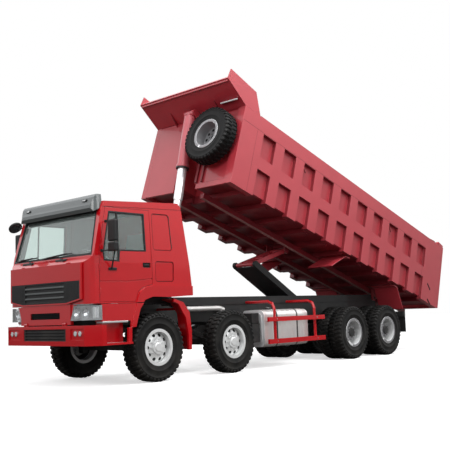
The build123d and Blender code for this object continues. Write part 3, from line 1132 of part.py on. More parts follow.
with BuildPart() as headboard:
    bed_box(HEADBOARD_U, (-SIDE_INNER_Y, SIDE_INNER_Y), (FLOOR_V[1], BED_V[1]))
    bed_box(
        (HEADBOARD_U[0] - 5, HEADBOARD_U[1] + 5), (-DOGHOUSE_Y, DOGHOUSE_Y),
        (FLOOR_V[1] - 5, DOGHOUSE_TOP_V), Mode.SUBTRACT,
    )
    back_u = HEADBOARD_U[1] - DOGHOUSE_DEPTH
    # housing that the hoist swings into
    for side in (-1, 1):
        y = sorted((side * DOGHOUSE_Y, side * (DOGHOUSE_Y + PLATE)))
        bed_plate(
            (
                (back_u - PLATE, FLOOR_V[1]), (back_u - PLATE, FLOOR_V[1] + 260),
                (HEADBOARD_U[0], DOGHOUSE_TOP_V + PLATE), (HEADBOARD_U[0] + 1, DOGHOUSE_TOP_V + PLATE),
                (HEADBOARD_U[0] + 1, FLOOR_V[1]),
            ),
            y,
        )
    bed_plate(
        (
            (back_u - PLATE, FLOOR_V[1]), (back_u - PLATE, FLOOR_V[1] + 260),
            (HEADBOARD_U[0] + 1, DOGHOUSE_TOP_V + PLATE), (HEADBOARD_U[0] + 1, DOGHOUSE_TOP_V),
            (back_u, FLOOR_V[1] + 255), (back_u, FLOOR_V[1]),
        ),
        (-DOGHOUSE_Y - 1, DOGHOUSE_Y + 1),
    )
    # canopy over the cab and its side wings
    (low_u, low_v), (tip_u, tip_v) = CANOPY
    bed_plate(
        (
            (low_u - 54, low_v), (low_u - 54, low_v + CANOPY_T), (tip_u, tip_v + CANOPY_T),
            (tip_u + 20, tip_v), (low_u + 50, low_v),
        ),
        (-BED_HALF + PLATE, BED_HALF - PLATE),
    )
    for side in (-1, 1):
        bed_plate(WING, sorted((side * (BED_HALF - PLATE), side * BED_HALF)))
    # bracket of the hoist's top pin
    top_u, top_v = HOIST_TOP
    for side in (-1, 1):
        bed_plate(
            (
                (HEADBOARD_U[1] - 1, top_v - 200), (top_u + 20, top_v - 60), (top_u + 62, top_v),
                (top_u + 40, top_v + 62), (HEADBOARD_U[1] - 1, top_v + 30),
            ),
            sorted(side * y for y in HOIST_TOP_EAR_Y),
        )
    pin_x, pin_z = on_bed(*HOIST_TOP)
    cross_rod(pin_x, pin_z, (-HOIST_TOP_EAR_Y[1], HOIST_TOP_EAR_Y[1]), HOIST_PIN_R)
write("headboard", raised(headboard.part))

spare_x, spare_z = PIVOT_X + SPARE[0], PIVOT_Z + SPARE[2]
write("spare_tyre", raised(Pos(spare_x, SPARE[1], spare_z) * Rot(0, 0, 90) * lug_tyre))

with BuildPart() as spare_rim:
    spare_plane = Plane(origin=(spare_x, SPARE[1], spare_z), x_dir=(1, 0, 0), z_dir=(0, -1, 0))
    for points in (rim_section(0), ring(SPARE_DISC, (SPARE_HOLE_R, DRUM_R))):
        with BuildSketch(spare_plane) as section:
            with BuildLine():
                Polyline(*[(y, height - TYRE_R) for y, height in points], close=True)
            make_face()
        revolve(section.sketch, axis=Axis((spare_x, SPARE[1], spare_z), (1, 0, 0)))
    # carrier from the headboard to the disc
    board_x, half = PIVOT_X + HEADBOARD_U[1], SPARE_PLATE_HALF
    rod((board_x, SPARE[1], spare_z), (spare_x + SPARE_DISC[1], SPARE[1], spare_z), SPARE_POST_R)
    box(
        (board_x, board_x + SPARE_PLATE_T),
        (SPARE[1] - half, SPARE[1] + half), (spare_z - half, spare_z + half),
    )
write("spare_rim", raised(spare_rim.part))

with BuildPart() as bed_mudguards:
    for side in (-1, 1):
        for sheet in BED_MUDGUARDS:
            bed_plate(sheet, sorted(side * y for y in BED_MUDGUARD_Y))
write("bed_mudguards", raised(bed_mudguards.part))

# ================= tailgate =================

with BuildPart() as tailgate:
    bed_box(TAILGATE_U, (-BED_HALF, BED_HALF), TAILGATE_V)
    panel_u = (TAILGATE_U[0] - 1, TAILGATE_U[0] + TAILGATE_PANEL_DEPTH)
    panel_half = BED_HALF - TAILGATE_PANEL_MARGIN
    for i in range(TAILGATE_PANELS):
        v = TAILGATE_V[0] + TAILGATE_PANEL_LOW + TAILGATE_PANEL_PITCH * i
        bed_box(panel_u, (-panel_half, panel_half), (v, v + TAILGATE_PANEL_H), Mode.SUBTRACT)
    pin_x, pin_z = on_bed(*TAILGATE_PIVOT)
    for side in (-1, 1):
        y = sorted((side * TAILGATE_ARM_Y[0], side * TAILGATE_ARM_Y[1]))
        pivot = TAILGATE_PIVOT
        bed_plate(
            (
                (TAILGATE_U[0], TAILGATE_V[1] - 10), (TAILGATE_U[0], TAILGATE_V[1] + 60),
                (pivot[0], pivot[1] + 42), (pivot[0], pivot[1] - 42), (TAILGATE_U[1], TAILGATE_V[1] - 10),
            ),
            y,
        )
        cross_rod(pin_x, pin_z, y, TAILGATE_EYE_R)
        cross_rod(pin_x, pin_z, y, TAILGATE_PIN_R + RUNNING_GAP, Mode.SUBTRACT)
write("tailgate", raised(tailgate.part))

# ================= hoist =================

top_x, top_z = on_raised_bed(*HOIST_TOP)
hoist_length = hypot(top_x - HOIST_FOOT[0], top_z - HOIST_FOOT[1])
hoist_down = Vector(HOIST_FOOT[0] - top_x, 0, HOIST_FOOT[1] - top_z).normalized()


def along_hoist(distance):
    """A point on the hoist's axis, measured down from its top pin."""
    return tuple(Vector(top_x, 0, top_z) + hoist_down * distance)


with BuildPart() as hoist_tube:
    rod(along_hoist(75), along_hoist(HOIST_TUBE_LENGTH), HOIST_TUBE_R)
    collar_start = along_hoist(HOIST_TUBE_LENGTH - HOIST_COLLAR_LENGTH)
    rod(collar_start, along_hoist(HOIST_TUBE_LENGTH), HOIST_TUBE_R + HOIST_COLLAR_T)
    eye_y = (-HOIST_TOP_EYE_HALF, HOIST_TOP_EYE_HALF)
    cross_rod(top_x, top_z, eye_y, HOIST_NECK_R)
    rod(along_hoist(0), along_hoist(80), HOIST_NECK_R)
    cross_rod(top_x, top_z, eye_y, HOIST_PIN_R + RUNNING_GAP, Mode.SUBTRACT)
    rod(along_hoist(110), along_hoist(HOIST_TUBE_LENGTH + 1), HOIST_STAGE_R[0] + RUNNING_GAP, Mode.SUBTRACT)
write("hoist_tube", hoist_tube.part)

stage_end = HOIST_TUBE_LENGTH
stage_start = 120.0
for i, radius in enumerate(HOIST_STAGE_R):
    last = i == len(HOIST_STAGE_R) - 1
    stage_start += HOIST_REST_STROKE
    with BuildPart() as stage:
        if last:
            rod(along_hoist(stage_start), along_hoist(hoist_length - 40), radius)
            foot = along_hoist(hoist_length)
            cross_rod(foot[0], foot[2], (-HOIST_EYE_HALF, HOIST_EYE_HALF), HOIST_EYE_R)
            cross_rod(foot[0], foot[2], (-HOIST_EYE_HALF - 1, HOIST_EYE_HALF + 1), HOIST_PIN_R, Mode.SUBTRACT)
        else:
            stage_end += HOIST_REST_STROKE + HOIST_CLOSED_STEP[i]
            inner = HOIST_STAGE_R[i + 1] + RUNNING_GAP
            rod(along_hoist(stage_start), along_hoist(stage_end), radius)
            rod(along_hoist(stage_start - 1), along_hoist(stage_end + 1), inner, Mode.SUBTRACT)
    write(f"hoist_stage_{i + 1}", stage.part)

# ================= stabiliser =================

foot, knee = Vector(STAY_FOOT[0], 0, STAY_FOOT[1]), Vector(STAY_KNEE[0], 0, STAY_KNEE[1])
bed_end = Vector(on_raised_bed(*STAY_BED)[0], 0, on_raised_bed(*STAY_BED)[1])


def arm(start, end, y, half, mode=Mode.ADD):
    """A flat bar from one pivot to the other, between two y values."""
    along = end - start
    with BuildSketch(Plane(origin=start + Vector(0, y[0], 0), x_dir=along, z_dir=(0, 1, 0))) as profile:
        with Locations((along.length / 2, 0)):
            SlotCenterToCenter(along.length, 2 * half)
    extrude(profile.sketch, amount=y[1] - y[0], mode=mode)


with BuildPart() as stay_lower:
    along = knee - foot
    for side in (-1, 1):
        arm(foot, knee, sorted((side * STAY_LOWER_Y[0], side * STAY_LOWER_Y[1])), STAY_HALF)
    # plate along the underside
    with BuildSketch(Plane(origin=foot, x_dir=(0, 1, 0), z_dir=along)) as plate:
        with Locations((0, 8 - STAY_HALF)):
            Rectangle(2 * STAY_LOWER_Y[0] + 20, 14)
    extrude(plate.sketch, amount=along.length)
    cross_rod(foot.X, foot.Z, (-STAY_LOWER_Y[1], STAY_LOWER_Y[1]), STAY_PIN_R + RUNNING_GAP, Mode.SUBTRACT)
    cross_rod(knee.X, knee.Z, (-STAY_LOWER_Y[1], STAY_LOWER_Y[1]), STAY_PIN_R)
write("stay_lower", stay_lower.part)

with BuildPart() as stay_upper:
    for side in (-1, 1):
        arm(knee, bed_end, sorted((side * STAY_UPPER_Y[0], side * STAY_UPPER_Y[1])), STAY_UPPER_HALF)
    cross_rod(knee.X, knee.Z, (-STAY_UPPER_Y[1] - 30, STAY_UPPER_Y[1] + 30), STAY_UPPER_HALF - 5)
    cross_rod(knee.X, knee.Z, (-STAY_LOWER_Y[1], STAY_LOWER_Y[1]), STAY_PIN_R + RUNNING_GAP, Mode.SUBTRACT)
    cross_rod(bed_end.X, bed_end.Z, (-225, 225), STAY_UPPER_HALF - 5)
    middle = (knee + bed_end) * 0.5
    cross_rod(middle.X, middle.Z, (-STAY_UPPER_Y[0] - 1, STAY_UPPER_Y[0] + 1), 30)
write("stay_upper", stay_upper.part)
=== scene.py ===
# %% [markdown]
# # A four-axle dump truck with its bed raised
# The truck is a tilting sleeper cab, a ladder frame on eight wheels and a long ribbed bed that
# a telescopic hoist pushes up from the front. The solid model already fixes every size and
# every joint, so this lesson only dresses it: each plain solid is kept with a better finish,
# or a finer piece takes its place. Nothing here may move a joint or grow the truck.

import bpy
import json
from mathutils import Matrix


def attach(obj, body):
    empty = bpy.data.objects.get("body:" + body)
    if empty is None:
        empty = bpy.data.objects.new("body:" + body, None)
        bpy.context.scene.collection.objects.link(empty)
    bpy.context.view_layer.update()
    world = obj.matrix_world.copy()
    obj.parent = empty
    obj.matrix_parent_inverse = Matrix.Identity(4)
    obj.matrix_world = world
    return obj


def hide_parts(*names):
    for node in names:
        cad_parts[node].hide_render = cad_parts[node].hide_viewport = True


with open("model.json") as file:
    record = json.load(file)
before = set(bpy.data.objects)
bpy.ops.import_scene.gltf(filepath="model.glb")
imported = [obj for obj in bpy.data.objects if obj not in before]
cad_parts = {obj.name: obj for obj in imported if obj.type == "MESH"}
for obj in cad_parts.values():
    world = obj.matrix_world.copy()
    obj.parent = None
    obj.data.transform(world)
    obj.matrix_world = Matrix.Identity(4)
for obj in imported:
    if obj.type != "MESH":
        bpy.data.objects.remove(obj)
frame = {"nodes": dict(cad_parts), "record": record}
print("solids loaded", len(frame["nodes"]))

# %% [markdown]
# The lesson's modules are imported here, and the scene is brought up to date before anything is added.

# %% Imports and an updated scene
import json
from math import cos, hypot, pi, radians, sin, tau

import bpy
from mathutils import Matrix, Vector

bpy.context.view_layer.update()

# %% [markdown]
# The camera stands low, ahead of the truck's left front corner, and looks back along its side.
# It could be aimed with a constraint, but a matrix built from the yaw, pitch and roll keeps
# the slight tilt of a hand-held camera. All x values below are measured from the front axle,
# which sits at x = 4.11 m of the shared frame.

# %% Camera
FRONT_AXLE = 4.11
CAMERA_PLACE = Vector((8.368 + FRONT_AXLE, 10.565, 1.099))
CAMERA_YAW, CAMERA_PITCH, CAMERA_ROLL = 3.8958, 0.1124, -0.0346
SENSOR_WIDTH = 36.0
LENS = 61.216

sight = Vector((
    cos(CAMERA_YAW) * cos(CAMERA_PITCH), sin(CAMERA_YAW) * cos(CAMERA_PITCH), sin(CAMERA_PITCH),
))
level_right = sight.cross(Vector((0, 0, 1))).normalized()
level_up = level_right.cross(sight)
camera_right = cos(CAMERA_ROLL) * level_right + sin(CAMERA_ROLL) * level_up
camera_up = cos(CAMERA_ROLL) * level_up - sin(CAMERA_ROLL) * level_right

bpy.ops.object.select_all(action="DESELECT")
bpy.ops.object.camera_add(location=CAMERA_PLACE)
camera = bpy.context.object
camera.name = "photographer"
turn = Matrix((camera_right, camera_up, -sight)).transposed().to_4x4()
camera.matrix_world = Matrix.Translation(CAMERA_PLACE) @ turn
camera.data.sensor_width = SENSOR_WIDTH
camera.data.lens = LENS
camera.data.clip_end = 200
bpy.context.scene.camera = camera
print("camera at", tuple(round(value, 3) for value in CAMERA_PLACE))

# %% [markdown]
# A studio for something twelve metres long is a pale room with very large soft lamps. Three
# area lamps do it: a broad one overhead, a key from the camera's left and a weaker one that
# opens the shadows along the side. Each is turned to a point it aims at, which is easier to
# judge than three angles.

# %% Lamps
bpy.context.scene.view_settings.view_transform = "Standard"
LAMPS = (
    # name, place, aim, width, height, watts
    ("overhead softbox", (1.0, 5.0, 12.5), (0.0, 0.0, 2.0), 13.0, 7.0, 1750.0),
    ("key softbox", (15.0, 4.0, 7.5), (2.5, 0.0, 1.8), 6.0, 5.0, 560.0),
    ("side softbox", (0.0, 16.0, 9.0), (-0.5, 0.0, 2.2), 12.0, 4.0, 700.0),
)


def softbox(name, place, aim, width, height, watts):
    """Hang one rectangular area lamp and turn it to its aim."""
    bpy.ops.object.select_all(action="DESELECT")
    bpy.ops.object.light_add(type="AREA", location=place)
    lamp = bpy.context.object
    lamp.name = name
    lamp.data.shape = "RECTANGLE"
    lamp.data.size, lamp.data.size_y = width, height
    lamp.data.energy = watts
    lamp.rotation_euler = (Vector(aim) - Vector(place)).to_track_quat("-Z", "Y").to_euler()


for lamp_row in LAMPS:
    softbox(*lamp_row)
print("lamps", len(LAMPS))

# %% [markdown]
# The world adds an even pale fill. Shiny paint would look dull under that weak fill, so mirror
# rays meet a sky that brightens with height. Rays that go straight to the camera or through
# glass meet pure white, so the background is white. All other rays meet half of that white,
# which opens the shadows. Node trees are long to write, so three helpers take up what repeats:
# one sets a node's values, one adds a node and one links a list of sockets.

# %% World
def set_inputs(node, inputs):
    """Give a node's inputs their values, by name or by number."""
    for label, value in inputs.items():
        node.inputs[label].default_value = value


def add_node(tree, kind, inputs=(), **settings):
    """Add a shader node with its own settings and the values of its inputs."""
    node = tree.nodes.new(f"ShaderNode{kind}")
    for label, value in settings.items():
        setattr(node, label, value)
    set_inputs(node, dict(inputs))
    return node


def wire(tree, *pairs):
    """Link each output to its input."""
    for start, end in pairs:
        tree.links.new(start, end)


PURE_WHITE = (1.0, 1.0, 1.0, 1.0)
FILL = {"Color": (0.93, 0.96, 1.0, 1.0), "Strength": 0.16}
SKY_COLOUR = (0.95, 0.97, 1.0, 1.0)
SKY_RISE = {"From Min": 0.10, "From Max": 0.36, "To Min": 0.10, "To Max": 2.3}
WALL_SHARE = 0.5

world = bpy.data.worlds.new("pale room")
bpy.context.scene.world = world
world.use_nodes = True
room = world.node_tree
room.nodes.clear()
fill_light = add_node(room, "Background", FILL)
white_wall = add_node(room, "Background", {"Color": PURE_WHITE})
bright_sky = add_node(room, "Background", {"Color": SKY_COLOUR})
rays = add_node(room, "LightPath")
seen = add_node(room, "Math", operation="MAXIMUM")
wall_part = add_node(room, "Math", {1: WALL_SHARE}, operation="MAXIMUM")
sky_place = add_node(room, "TexCoord")
sky_split = add_node(room, "SeparateXYZ")
sky_rise = add_node(room, "MapRange", SKY_RISE)
mirrored = add_node(room, "MixShader")
choose = add_node(room, "MixShader")
room_out = add_node(room, "OutputWorld")
wire(
    room,
    (sky_place.outputs["Generated"], sky_split.inputs[0]),
    (sky_split.outputs["Z"], sky_rise.inputs["Value"]),
    (sky_rise.outputs[0], bright_sky.inputs["Strength"]),
    (rays.outputs["Is Glossy Ray"], mirrored.inputs[0]),
    (fill_light.outputs[0], mirrored.inputs[1]),
    (bright_sky.outputs[0], mirrored.inputs[2]),
    (rays.outputs["Is Camera Ray"], seen.inputs[0]),
    (rays.outputs["Is Transmission Ray"], seen.inputs[1]),
    (seen.outputs[0], wall_part.inputs[0]),
    (wall_part.outputs[0], choose.inputs[0]),
    (mirrored.outputs[0], choose.inputs[1]),
    (white_wall.outputs[0], choose.inputs[2]),
    (choose.outputs[0], room_out.inputs[0]),
)
print("world", world.name, len(room.nodes), "nodes")

# %% [markdown]
# The ground has to be as white as the wall where the camera sees it, yet keep the truck's
# shadow. A large plane with a pale diffuse surface would turn grey away from the lamps. So the
# floor is pale in itself and adds a little light of its own only for camera rays. For light that
# bounces it is as dark as tarmac, or the undersides would be as bright as the sides.

# %% Floor
def new_finish(name):
    """A new material with its node tree and its shader."""
    material = bpy.data.materials.new(name)
    material.use_nodes = True
    return material, material.node_tree, material.node_tree.nodes["Principled BSDF"]


FLOOR_HALF = 60.0
PALE_FLOOR = {"Base Color": (0.92, 0.92, 0.92, 1.0), "Roughness": 0.9, "Specular IOR Level": 0.1}
DARK_FLOOR = {"Color": (0.16, 0.15, 0.145, 1.0)}
FLOOR_GLOW = 0.55

bpy.ops.object.select_all(action="DESELECT")
bpy.ops.mesh.primitive_plane_add(size=2 * FLOOR_HALF, location=(0, 0, 0))
floor = bpy.context.object
floor.name = "studio_floor"
floor_finish, ground, floor_paint = new_finish("pale studio floor")
set_inputs(floor_paint, PALE_FLOOR)
floor_rays = add_node(ground, "LightPath")
floor_glow = add_node(ground, "Emission", {"Color": PURE_WHITE})
floor_strength = add_node(ground, "Math", {1: FLOOR_GLOW}, operation="MULTIPLY")
floor_sum = add_node(ground, "AddShader")
floor_bounce = add_node(ground, "BsdfDiffuse", DARK_FLOOR)
floor_choice = add_node(ground, "MixShader")
wire(
    ground,
    (floor_rays.outputs["Is Camera Ray"], floor_strength.inputs[0]),
    (floor_strength.outputs[0], floor_glow.inputs["Strength"]),
    (floor_paint.outputs[0], floor_sum.inputs[0]),
    (floor_glow.outputs[0], floor_sum.inputs[1]),
    (floor_rays.outputs["Is Camera Ray"], floor_choice.inputs[0]),
    (floor_bounce.outputs[0], floor_choice.inputs[1]),
    (floor_sum.outputs[0], floor_choice.inputs[2]),
    (floor_choice.outputs[0], ground.nodes["Material Output"].inputs[0]),
)
floor.data.materials.append(floor_finish)
print("floor", 2 * FLOOR_HALF, "m wide")

# %% [markdown]
# ## Road dust, brushed marks and rolled steel
# Three effects are shared by many finishes. Road dust gathers low down and in patches, so one
# group mixes a colour towards dust by height and noise. Fine scratches and orange peel are a
# second group, which only gives heights and a mask. Each material then sets its own amounts.

# %% Node group: road dust
def new_group(name, sockets):
    """A new node group with its named sockets, and its first and last node."""
    group = bpy.data.node_groups.new(name, "ShaderNodeTree")
    for label, way, kind, value in sockets:
        socket = group.interface.new_socket(name=label, in_out=way, socket_type=f"NodeSocket{kind}")
        if value is not None:
            socket.default_value = value
    return group, group.nodes.new("NodeGroupInput"), group.nodes.new("NodeGroupOutput")


DUSTY_ROUGHNESS = 0.9
dust, dust_in, dust_out = new_group("road dust", (
    ("Clean", "INPUT", "Color", (0.5, 0.5, 0.5, 1.0)),
    ("Dust", "INPUT", "Color", (0.32, 0.29, 0.25, 1.0)),
    ("Amount", "INPUT", "Float", 0.2),
    ("Height", "INPUT", "Float", 1.2),
    ("Roughness", "INPUT", "Float", 0.4),
    ("Color", "OUTPUT", "Color", None),
    ("Roughness", "OUTPUT", "Float", None),
))
dust_place = add_node(dust, "TexCoord")
dust_split = add_node(dust, "SeparateXYZ")
dust_noise = add_node(dust, "TexNoise", {"Scale": 5.0, "Detail": 6.0})
dust_low = add_node(dust, "MapRange", {"From Min": 0.0, "To Min": 1.0, "To Max": 0.12})
dust_patch = add_node(dust, "MapRange", {"From Min": 0.35, "From Max": 0.7})
dust_mask = add_node(dust, "Math", operation="MULTIPLY")
dust_share = add_node(dust, "Math", operation="MULTIPLY")
dust_mix = add_node(dust, "Mix", data_type="RGBA")
dust_rough = add_node(dust, "Mix", {"B": DUSTY_ROUGHNESS}, data_type="FLOAT")
wire(
    dust,
    (dust_place.outputs["Object"], dust_split.inputs[0]),
    (dust_place.outputs["Object"], dust_noise.inputs["Vector"]),
    (dust_split.outputs["Z"], dust_low.inputs["Value"]),
    (dust_in.outputs["Height"], dust_low.inputs["From Max"]),
    (dust_noise.outputs["Fac"], dust_patch.inputs["Value"]),
    (dust_low.outputs[0], dust_mask.inputs[0]),
    (dust_patch.outputs[0], dust_mask.inputs[1]),
    (dust_mask.outputs[0], dust_share.inputs[0]),
    (dust_in.outputs["Amount"], dust_share.inputs[1]),
    (dust_share.outputs[0], dust_mix.inputs["Factor"]),
    (dust_in.outputs["Clean"], dust_mix.inputs[6]),
    (dust_in.outputs["Dust"], dust_mix.inputs[7]),
    (dust_mix.outputs[2], dust_out.inputs["Color"]),
    (dust_share.outputs[0], dust_rough.inputs["Factor"]),
    (dust_in.outputs["Roughness"], dust_rough.inputs["A"]),
    (dust_rough.outputs["Result"], dust_out.inputs["Roughness"]),
)
print("group", dust.name, len(dust.nodes), "nodes")

# %% [markdown]
# No sprayed or cast surface is quite flat. The second group mixes a fine grain with a slow wave
# and puts the result out as a height for bumps. The slow wave alone is put out as well, as a
# mask that lets a colour drift between two tones.

# %% Node group: fine surface
skin, skin_in, skin_out = new_group("fine surface", (
    ("Grain Scale", "INPUT", "Float", 300.0),
    ("Wave Scale", "INPUT", "Float", 6.0),
    ("Grain Share", "INPUT", "Float", 0.5),
    ("Height", "OUTPUT", "Float", None),
    ("Mottle", "OUTPUT", "Float", None),
))
skin_place = add_node(skin, "TexCoord")
skin_grain = add_node(skin, "TexNoise", {"Detail": 3.0})
skin_wave = add_node(skin, "TexNoise", {"Detail": 2.0})
skin_mix = add_node(skin, "Mix", data_type="FLOAT")
wire(
    skin,
    (skin_place.outputs["Object"], skin_grain.inputs["Vector"]),
    (skin_place.outputs["Object"], skin_wave.inputs["Vector"]),
    (skin_in.outputs["Grain Scale"], skin_grain.inputs["Scale"]),
    (skin_in.outputs["Wave Scale"], skin_wave.inputs["Scale"]),
    (skin_in.outputs["Grain Share"], skin_mix.inputs["Factor"]),
    (skin_wave.outputs["Fac"], skin_mix.inputs["A"]),
    (skin_grain.outputs["Fac"], skin_mix.inputs["B"]),
    (skin_mix.outputs["Result"], skin_out.inputs["Height"]),
    (skin_wave.outputs["Fac"], skin_out.inputs["Mottle"]),
)
print("group", skin.name, len(skin.nodes), "nodes")

# %% [markdown]
# ## The finishes
# Most finishes on a truck differ only in a few numbers: the clean colour and a second tone it
# drifts to, how rough and how metallic it is, how much dust it holds and how fine its grain
# is. A table with those numbers keeps the finishes comparable, and one function turns a row
# into nodes. Paint also gets a clear coat. Its weight and roughness are constants, so they are
# set on the shader itself.

# %% Table of opaque finishes
FINISHES = {
    # name: colour, second tone, roughness, metallic, coat, dust, dust height, grain, share, bump
    "cab paint": ((0.50, 0.002, 0.007), (0.43, 0.001, 0.005), 0.34, 0.0, 0.9, 0.03, 1.0, 500, 0.5, 0.0015),
    "bed paint": ((0.43, 0.033, 0.046), (0.36, 0.024, 0.036), 0.42, 0.0, 0.45, 0.05, 2.5, 260, 0.6, 0.045),
    "bed shade paint": (
        (0.22, 0.010, 0.017), (0.16, 0.007, 0.013), 0.50, 0.0, 0.20, 0.05, 2.5, 260, 0.6, 0.05,
    ),
    "bay shade paint": ((0.39, 0.026, 0.038), (0.32, 0.019, 0.030), 0.46, 0.0, 0.25, 0.05, 2.5, 260, 0.6, 0.05),
    "frame paint": ((0.018, 0.019, 0.019), (0.026, 0.026, 0.027), 0.46, 0.0, 0.15, 0.14, 1.3, 180, 0.6, 0.08),
    "tyre rubber": (
        (0.0035, 0.0035, 0.0035), (0.0065, 0.0065, 0.0065), 0.58, 0.0, 0.0, 0.06, 1.6, 220, 0.7, 0.12,
    ),
    "wheel silver": ((0.78, 0.79, 0.79), (0.68, 0.69, 0.69), 0.40, 0.30, 0.25, 0.16, 1.5, 320, 0.6, 0.05),
    "brushed aluminium": ((0.66, 0.67, 0.68), (0.56, 0.57, 0.58), 0.30, 0.95, 0.0, 0.14, 1.4, 420, 0.8, 0.05),
    "chrome plate": ((0.72, 0.73, 0.75), (0.66, 0.67, 0.69), 0.12, 1.0, 0.0, 0.05, 1.4, 500, 0.4, 0.01),
    "black plastic": (
        (0.014, 0.014, 0.015), (0.022, 0.022, 0.023), 0.42, 0.0, 0.0, 0.16, 1.2, 700, 0.8, 0.10,
    ),
    "visor plastic": (
        (0.063, 0.073, 0.073), (0.051, 0.059, 0.059), 0.30, 0.0, 0.4, 0.04, 1.2, 600, 0.5, 0.01,
    ),
    "cab trim": ((0.16, 0.16, 0.165), (0.20, 0.195, 0.195), 0.70, 0.0, 0.0, 0.0, 1.2, 600, 0.8, 0.15),
    "red lens": ((0.50, 0.01, 0.01), (0.40, 0.01, 0.01), 0.15, 0.0, 0.6, 0.03, 1.2, 300, 0.5, 0.02),
    "mirror glass": ((0.60, 0.62, 0.64), (0.56, 0.58, 0.60), 0.06, 1.0, 0.0, 0.02, 1.2, 300, 0.5, 0.0),
    "beam highlight grey": ((0.42, 0.22, 0.21), (0.30, 0.15, 0.145), 0.55, 0.0, 0.0, 0.20, 2.5, 260, 0.6, 0.06),
    "hoist red": ((0.54, 0.10, 0.12), (0.46, 0.075, 0.095), 0.36, 0.0, 0.5, 0.03, 2.5, 260, 0.6, 0.02),
    "polished tank": ((0.86, 0.85, 0.83), (0.70, 0.69, 0.68), 0.24, 0.50, 0.3, 0.05, 1.4, 420, 0.8, 0.03),
    "bright pipe": ((0.78, 0.77, 0.75), (0.66, 0.65, 0.63), 0.34, 0.45, 0.0, 0.05, 1.4, 420, 0.8, 0.03),
    "polished rod": ((0.84, 0.85, 0.86), (0.80, 0.81, 0.82), 0.26, 0.55, 0.4, 0.0, 1.4, 420, 0.8, 0.01),
    "dull steel": ((0.30, 0.30, 0.31), (0.22, 0.22, 0.23), 0.45, 0.30, 0.1, 0.10, 2.5, 260, 0.6, 0.03),
    "rim edge": ((0.88, 0.89, 0.90), (0.80, 0.81, 0.82), 0.32, 0.25, 0.3, 0.04, 1.4, 300, 0.5, 0.02),
    "lamp tray": ((0.62, 0.63, 0.64), (0.50, 0.51, 0.52), 0.24, 0.45, 0.0, 0.02, 1.2, 300, 0.5, 0.02),
    "bright lens": ((0.70, 0.72, 0.73), (0.62, 0.64, 0.65), 0.12, 0.2, 0.8, 0.02, 1.2, 300, 0.5, 0.02),
    "seam shadow": ((0.060, 0.002, 0.004), (0.045, 0.002, 0.003), 0.60, 0.0, 0.0, 0.05, 1.2, 300, 0.5, 0.02),
    "dark cavity": ((0.004, 0.004, 0.005), (0.007, 0.007, 0.008), 0.80, 0.0, 0.0, 0.1, 1.2, 300, 0.5, 0.02),
}

DULL_SHINE, LACQUER_SHINE, LACQUER_ROUGHNESS = 0.16, 0.12, 0.07
TONE_SCALE, BUMP_DEPTH = 3.0, 0.002


def finish(name, colour, second, rough, metal, coat, dusty, dust_height, grain, share, bump):
    """Build one opaque finish from its row of numbers."""
    material, tree, shader = new_finish(name)
    set_inputs(shader, {"Metallic": metal, "Coat Weight": coat, "Coat Roughness": LACQUER_ROUGHNESS})
    if metal == 0.0 and coat < 0.2:
        set_inputs(shader, {"Specular IOR Level": DULL_SHINE})
    if coat >= 0.9:
        set_inputs(shader, {"Specular IOR Level": LACQUER_SHINE})
    fine = {"Grain Scale": grain, "Wave Scale": TONE_SCALE, "Grain Share": share}
    surface = add_node(tree, "Group", node_tree=skin)
    set_inputs(surface, fine)
    tones = add_node(tree, "Mix", {6: (*colour, 1.0), 7: (*second, 1.0)}, data_type="RGBA")
    dirt = add_node(tree, "Group", node_tree=dust)
    set_inputs(dirt, {"Amount": dusty, "Height": dust_height, "Roughness": rough})
    relief = add_node(tree, "Bump", {"Strength": min(1.0, bump * 6), "Distance": BUMP_DEPTH})
    wire(
        tree,
        (surface.outputs["Mottle"], tones.inputs["Factor"]),
        (tones.outputs[2], dirt.inputs["Clean"]),
        (dirt.outputs["Color"], shader.inputs["Base Color"]),
        (dirt.outputs["Roughness"], shader.inputs["Roughness"]),
        (surface.outputs["Height"], relief.inputs["Height"]),
        (relief.outputs[0], shader.inputs["Normal"]),
    )
    return material


paint = {name: finish(name, *row) for name, row in FINISHES.items()}
print("finishes", len(paint))

# %% [markdown]
# Glass is different, because light passes through it. Windscreen and door glass are tinted
# grey-green and thin, so they are kept as plain transmission with a light tint. The headlamp
# lens is clear. A faint smear of dust changes only the roughness.

# %% Glass finishes
GLASSES = {
    # name: tint, roughness, transmission
    "window glass": ((0.80, 0.90, 0.87), 0.01, 0.90),
    "lamp lens": ((0.93, 0.95, 0.96), 0.03, 0.92),
}
SMEAR = 0.05


def glass_finish(name, tint, rough, through):
    """Build one glass with faint smears in its roughness."""
    material, tree, shader = new_finish(name)
    set_inputs(shader, {"Base Color": (*tint, 1.0), "Metallic": 0.0})
    set_inputs(shader, {"Transmission Weight": through, "IOR": 1.45})
    surface = add_node(tree, "Group", node_tree=skin)
    set_inputs(surface, {"Grain Scale": 40.0, "Wave Scale": 4.0})
    smear = add_node(tree, "MapRange", {
        "From Min": 0.4, "From Max": 0.8, "To Min": rough, "To Max": rough + SMEAR,
    })
    wire(
        tree,
        (surface.outputs["Height"], smear.inputs["Value"]),
        (smear.outputs[0], shader.inputs["Roughness"]),
    )
    return material


glass = {name: glass_finish(name, *row) for name, row in GLASSES.items()}
print("glasses", len(glass))
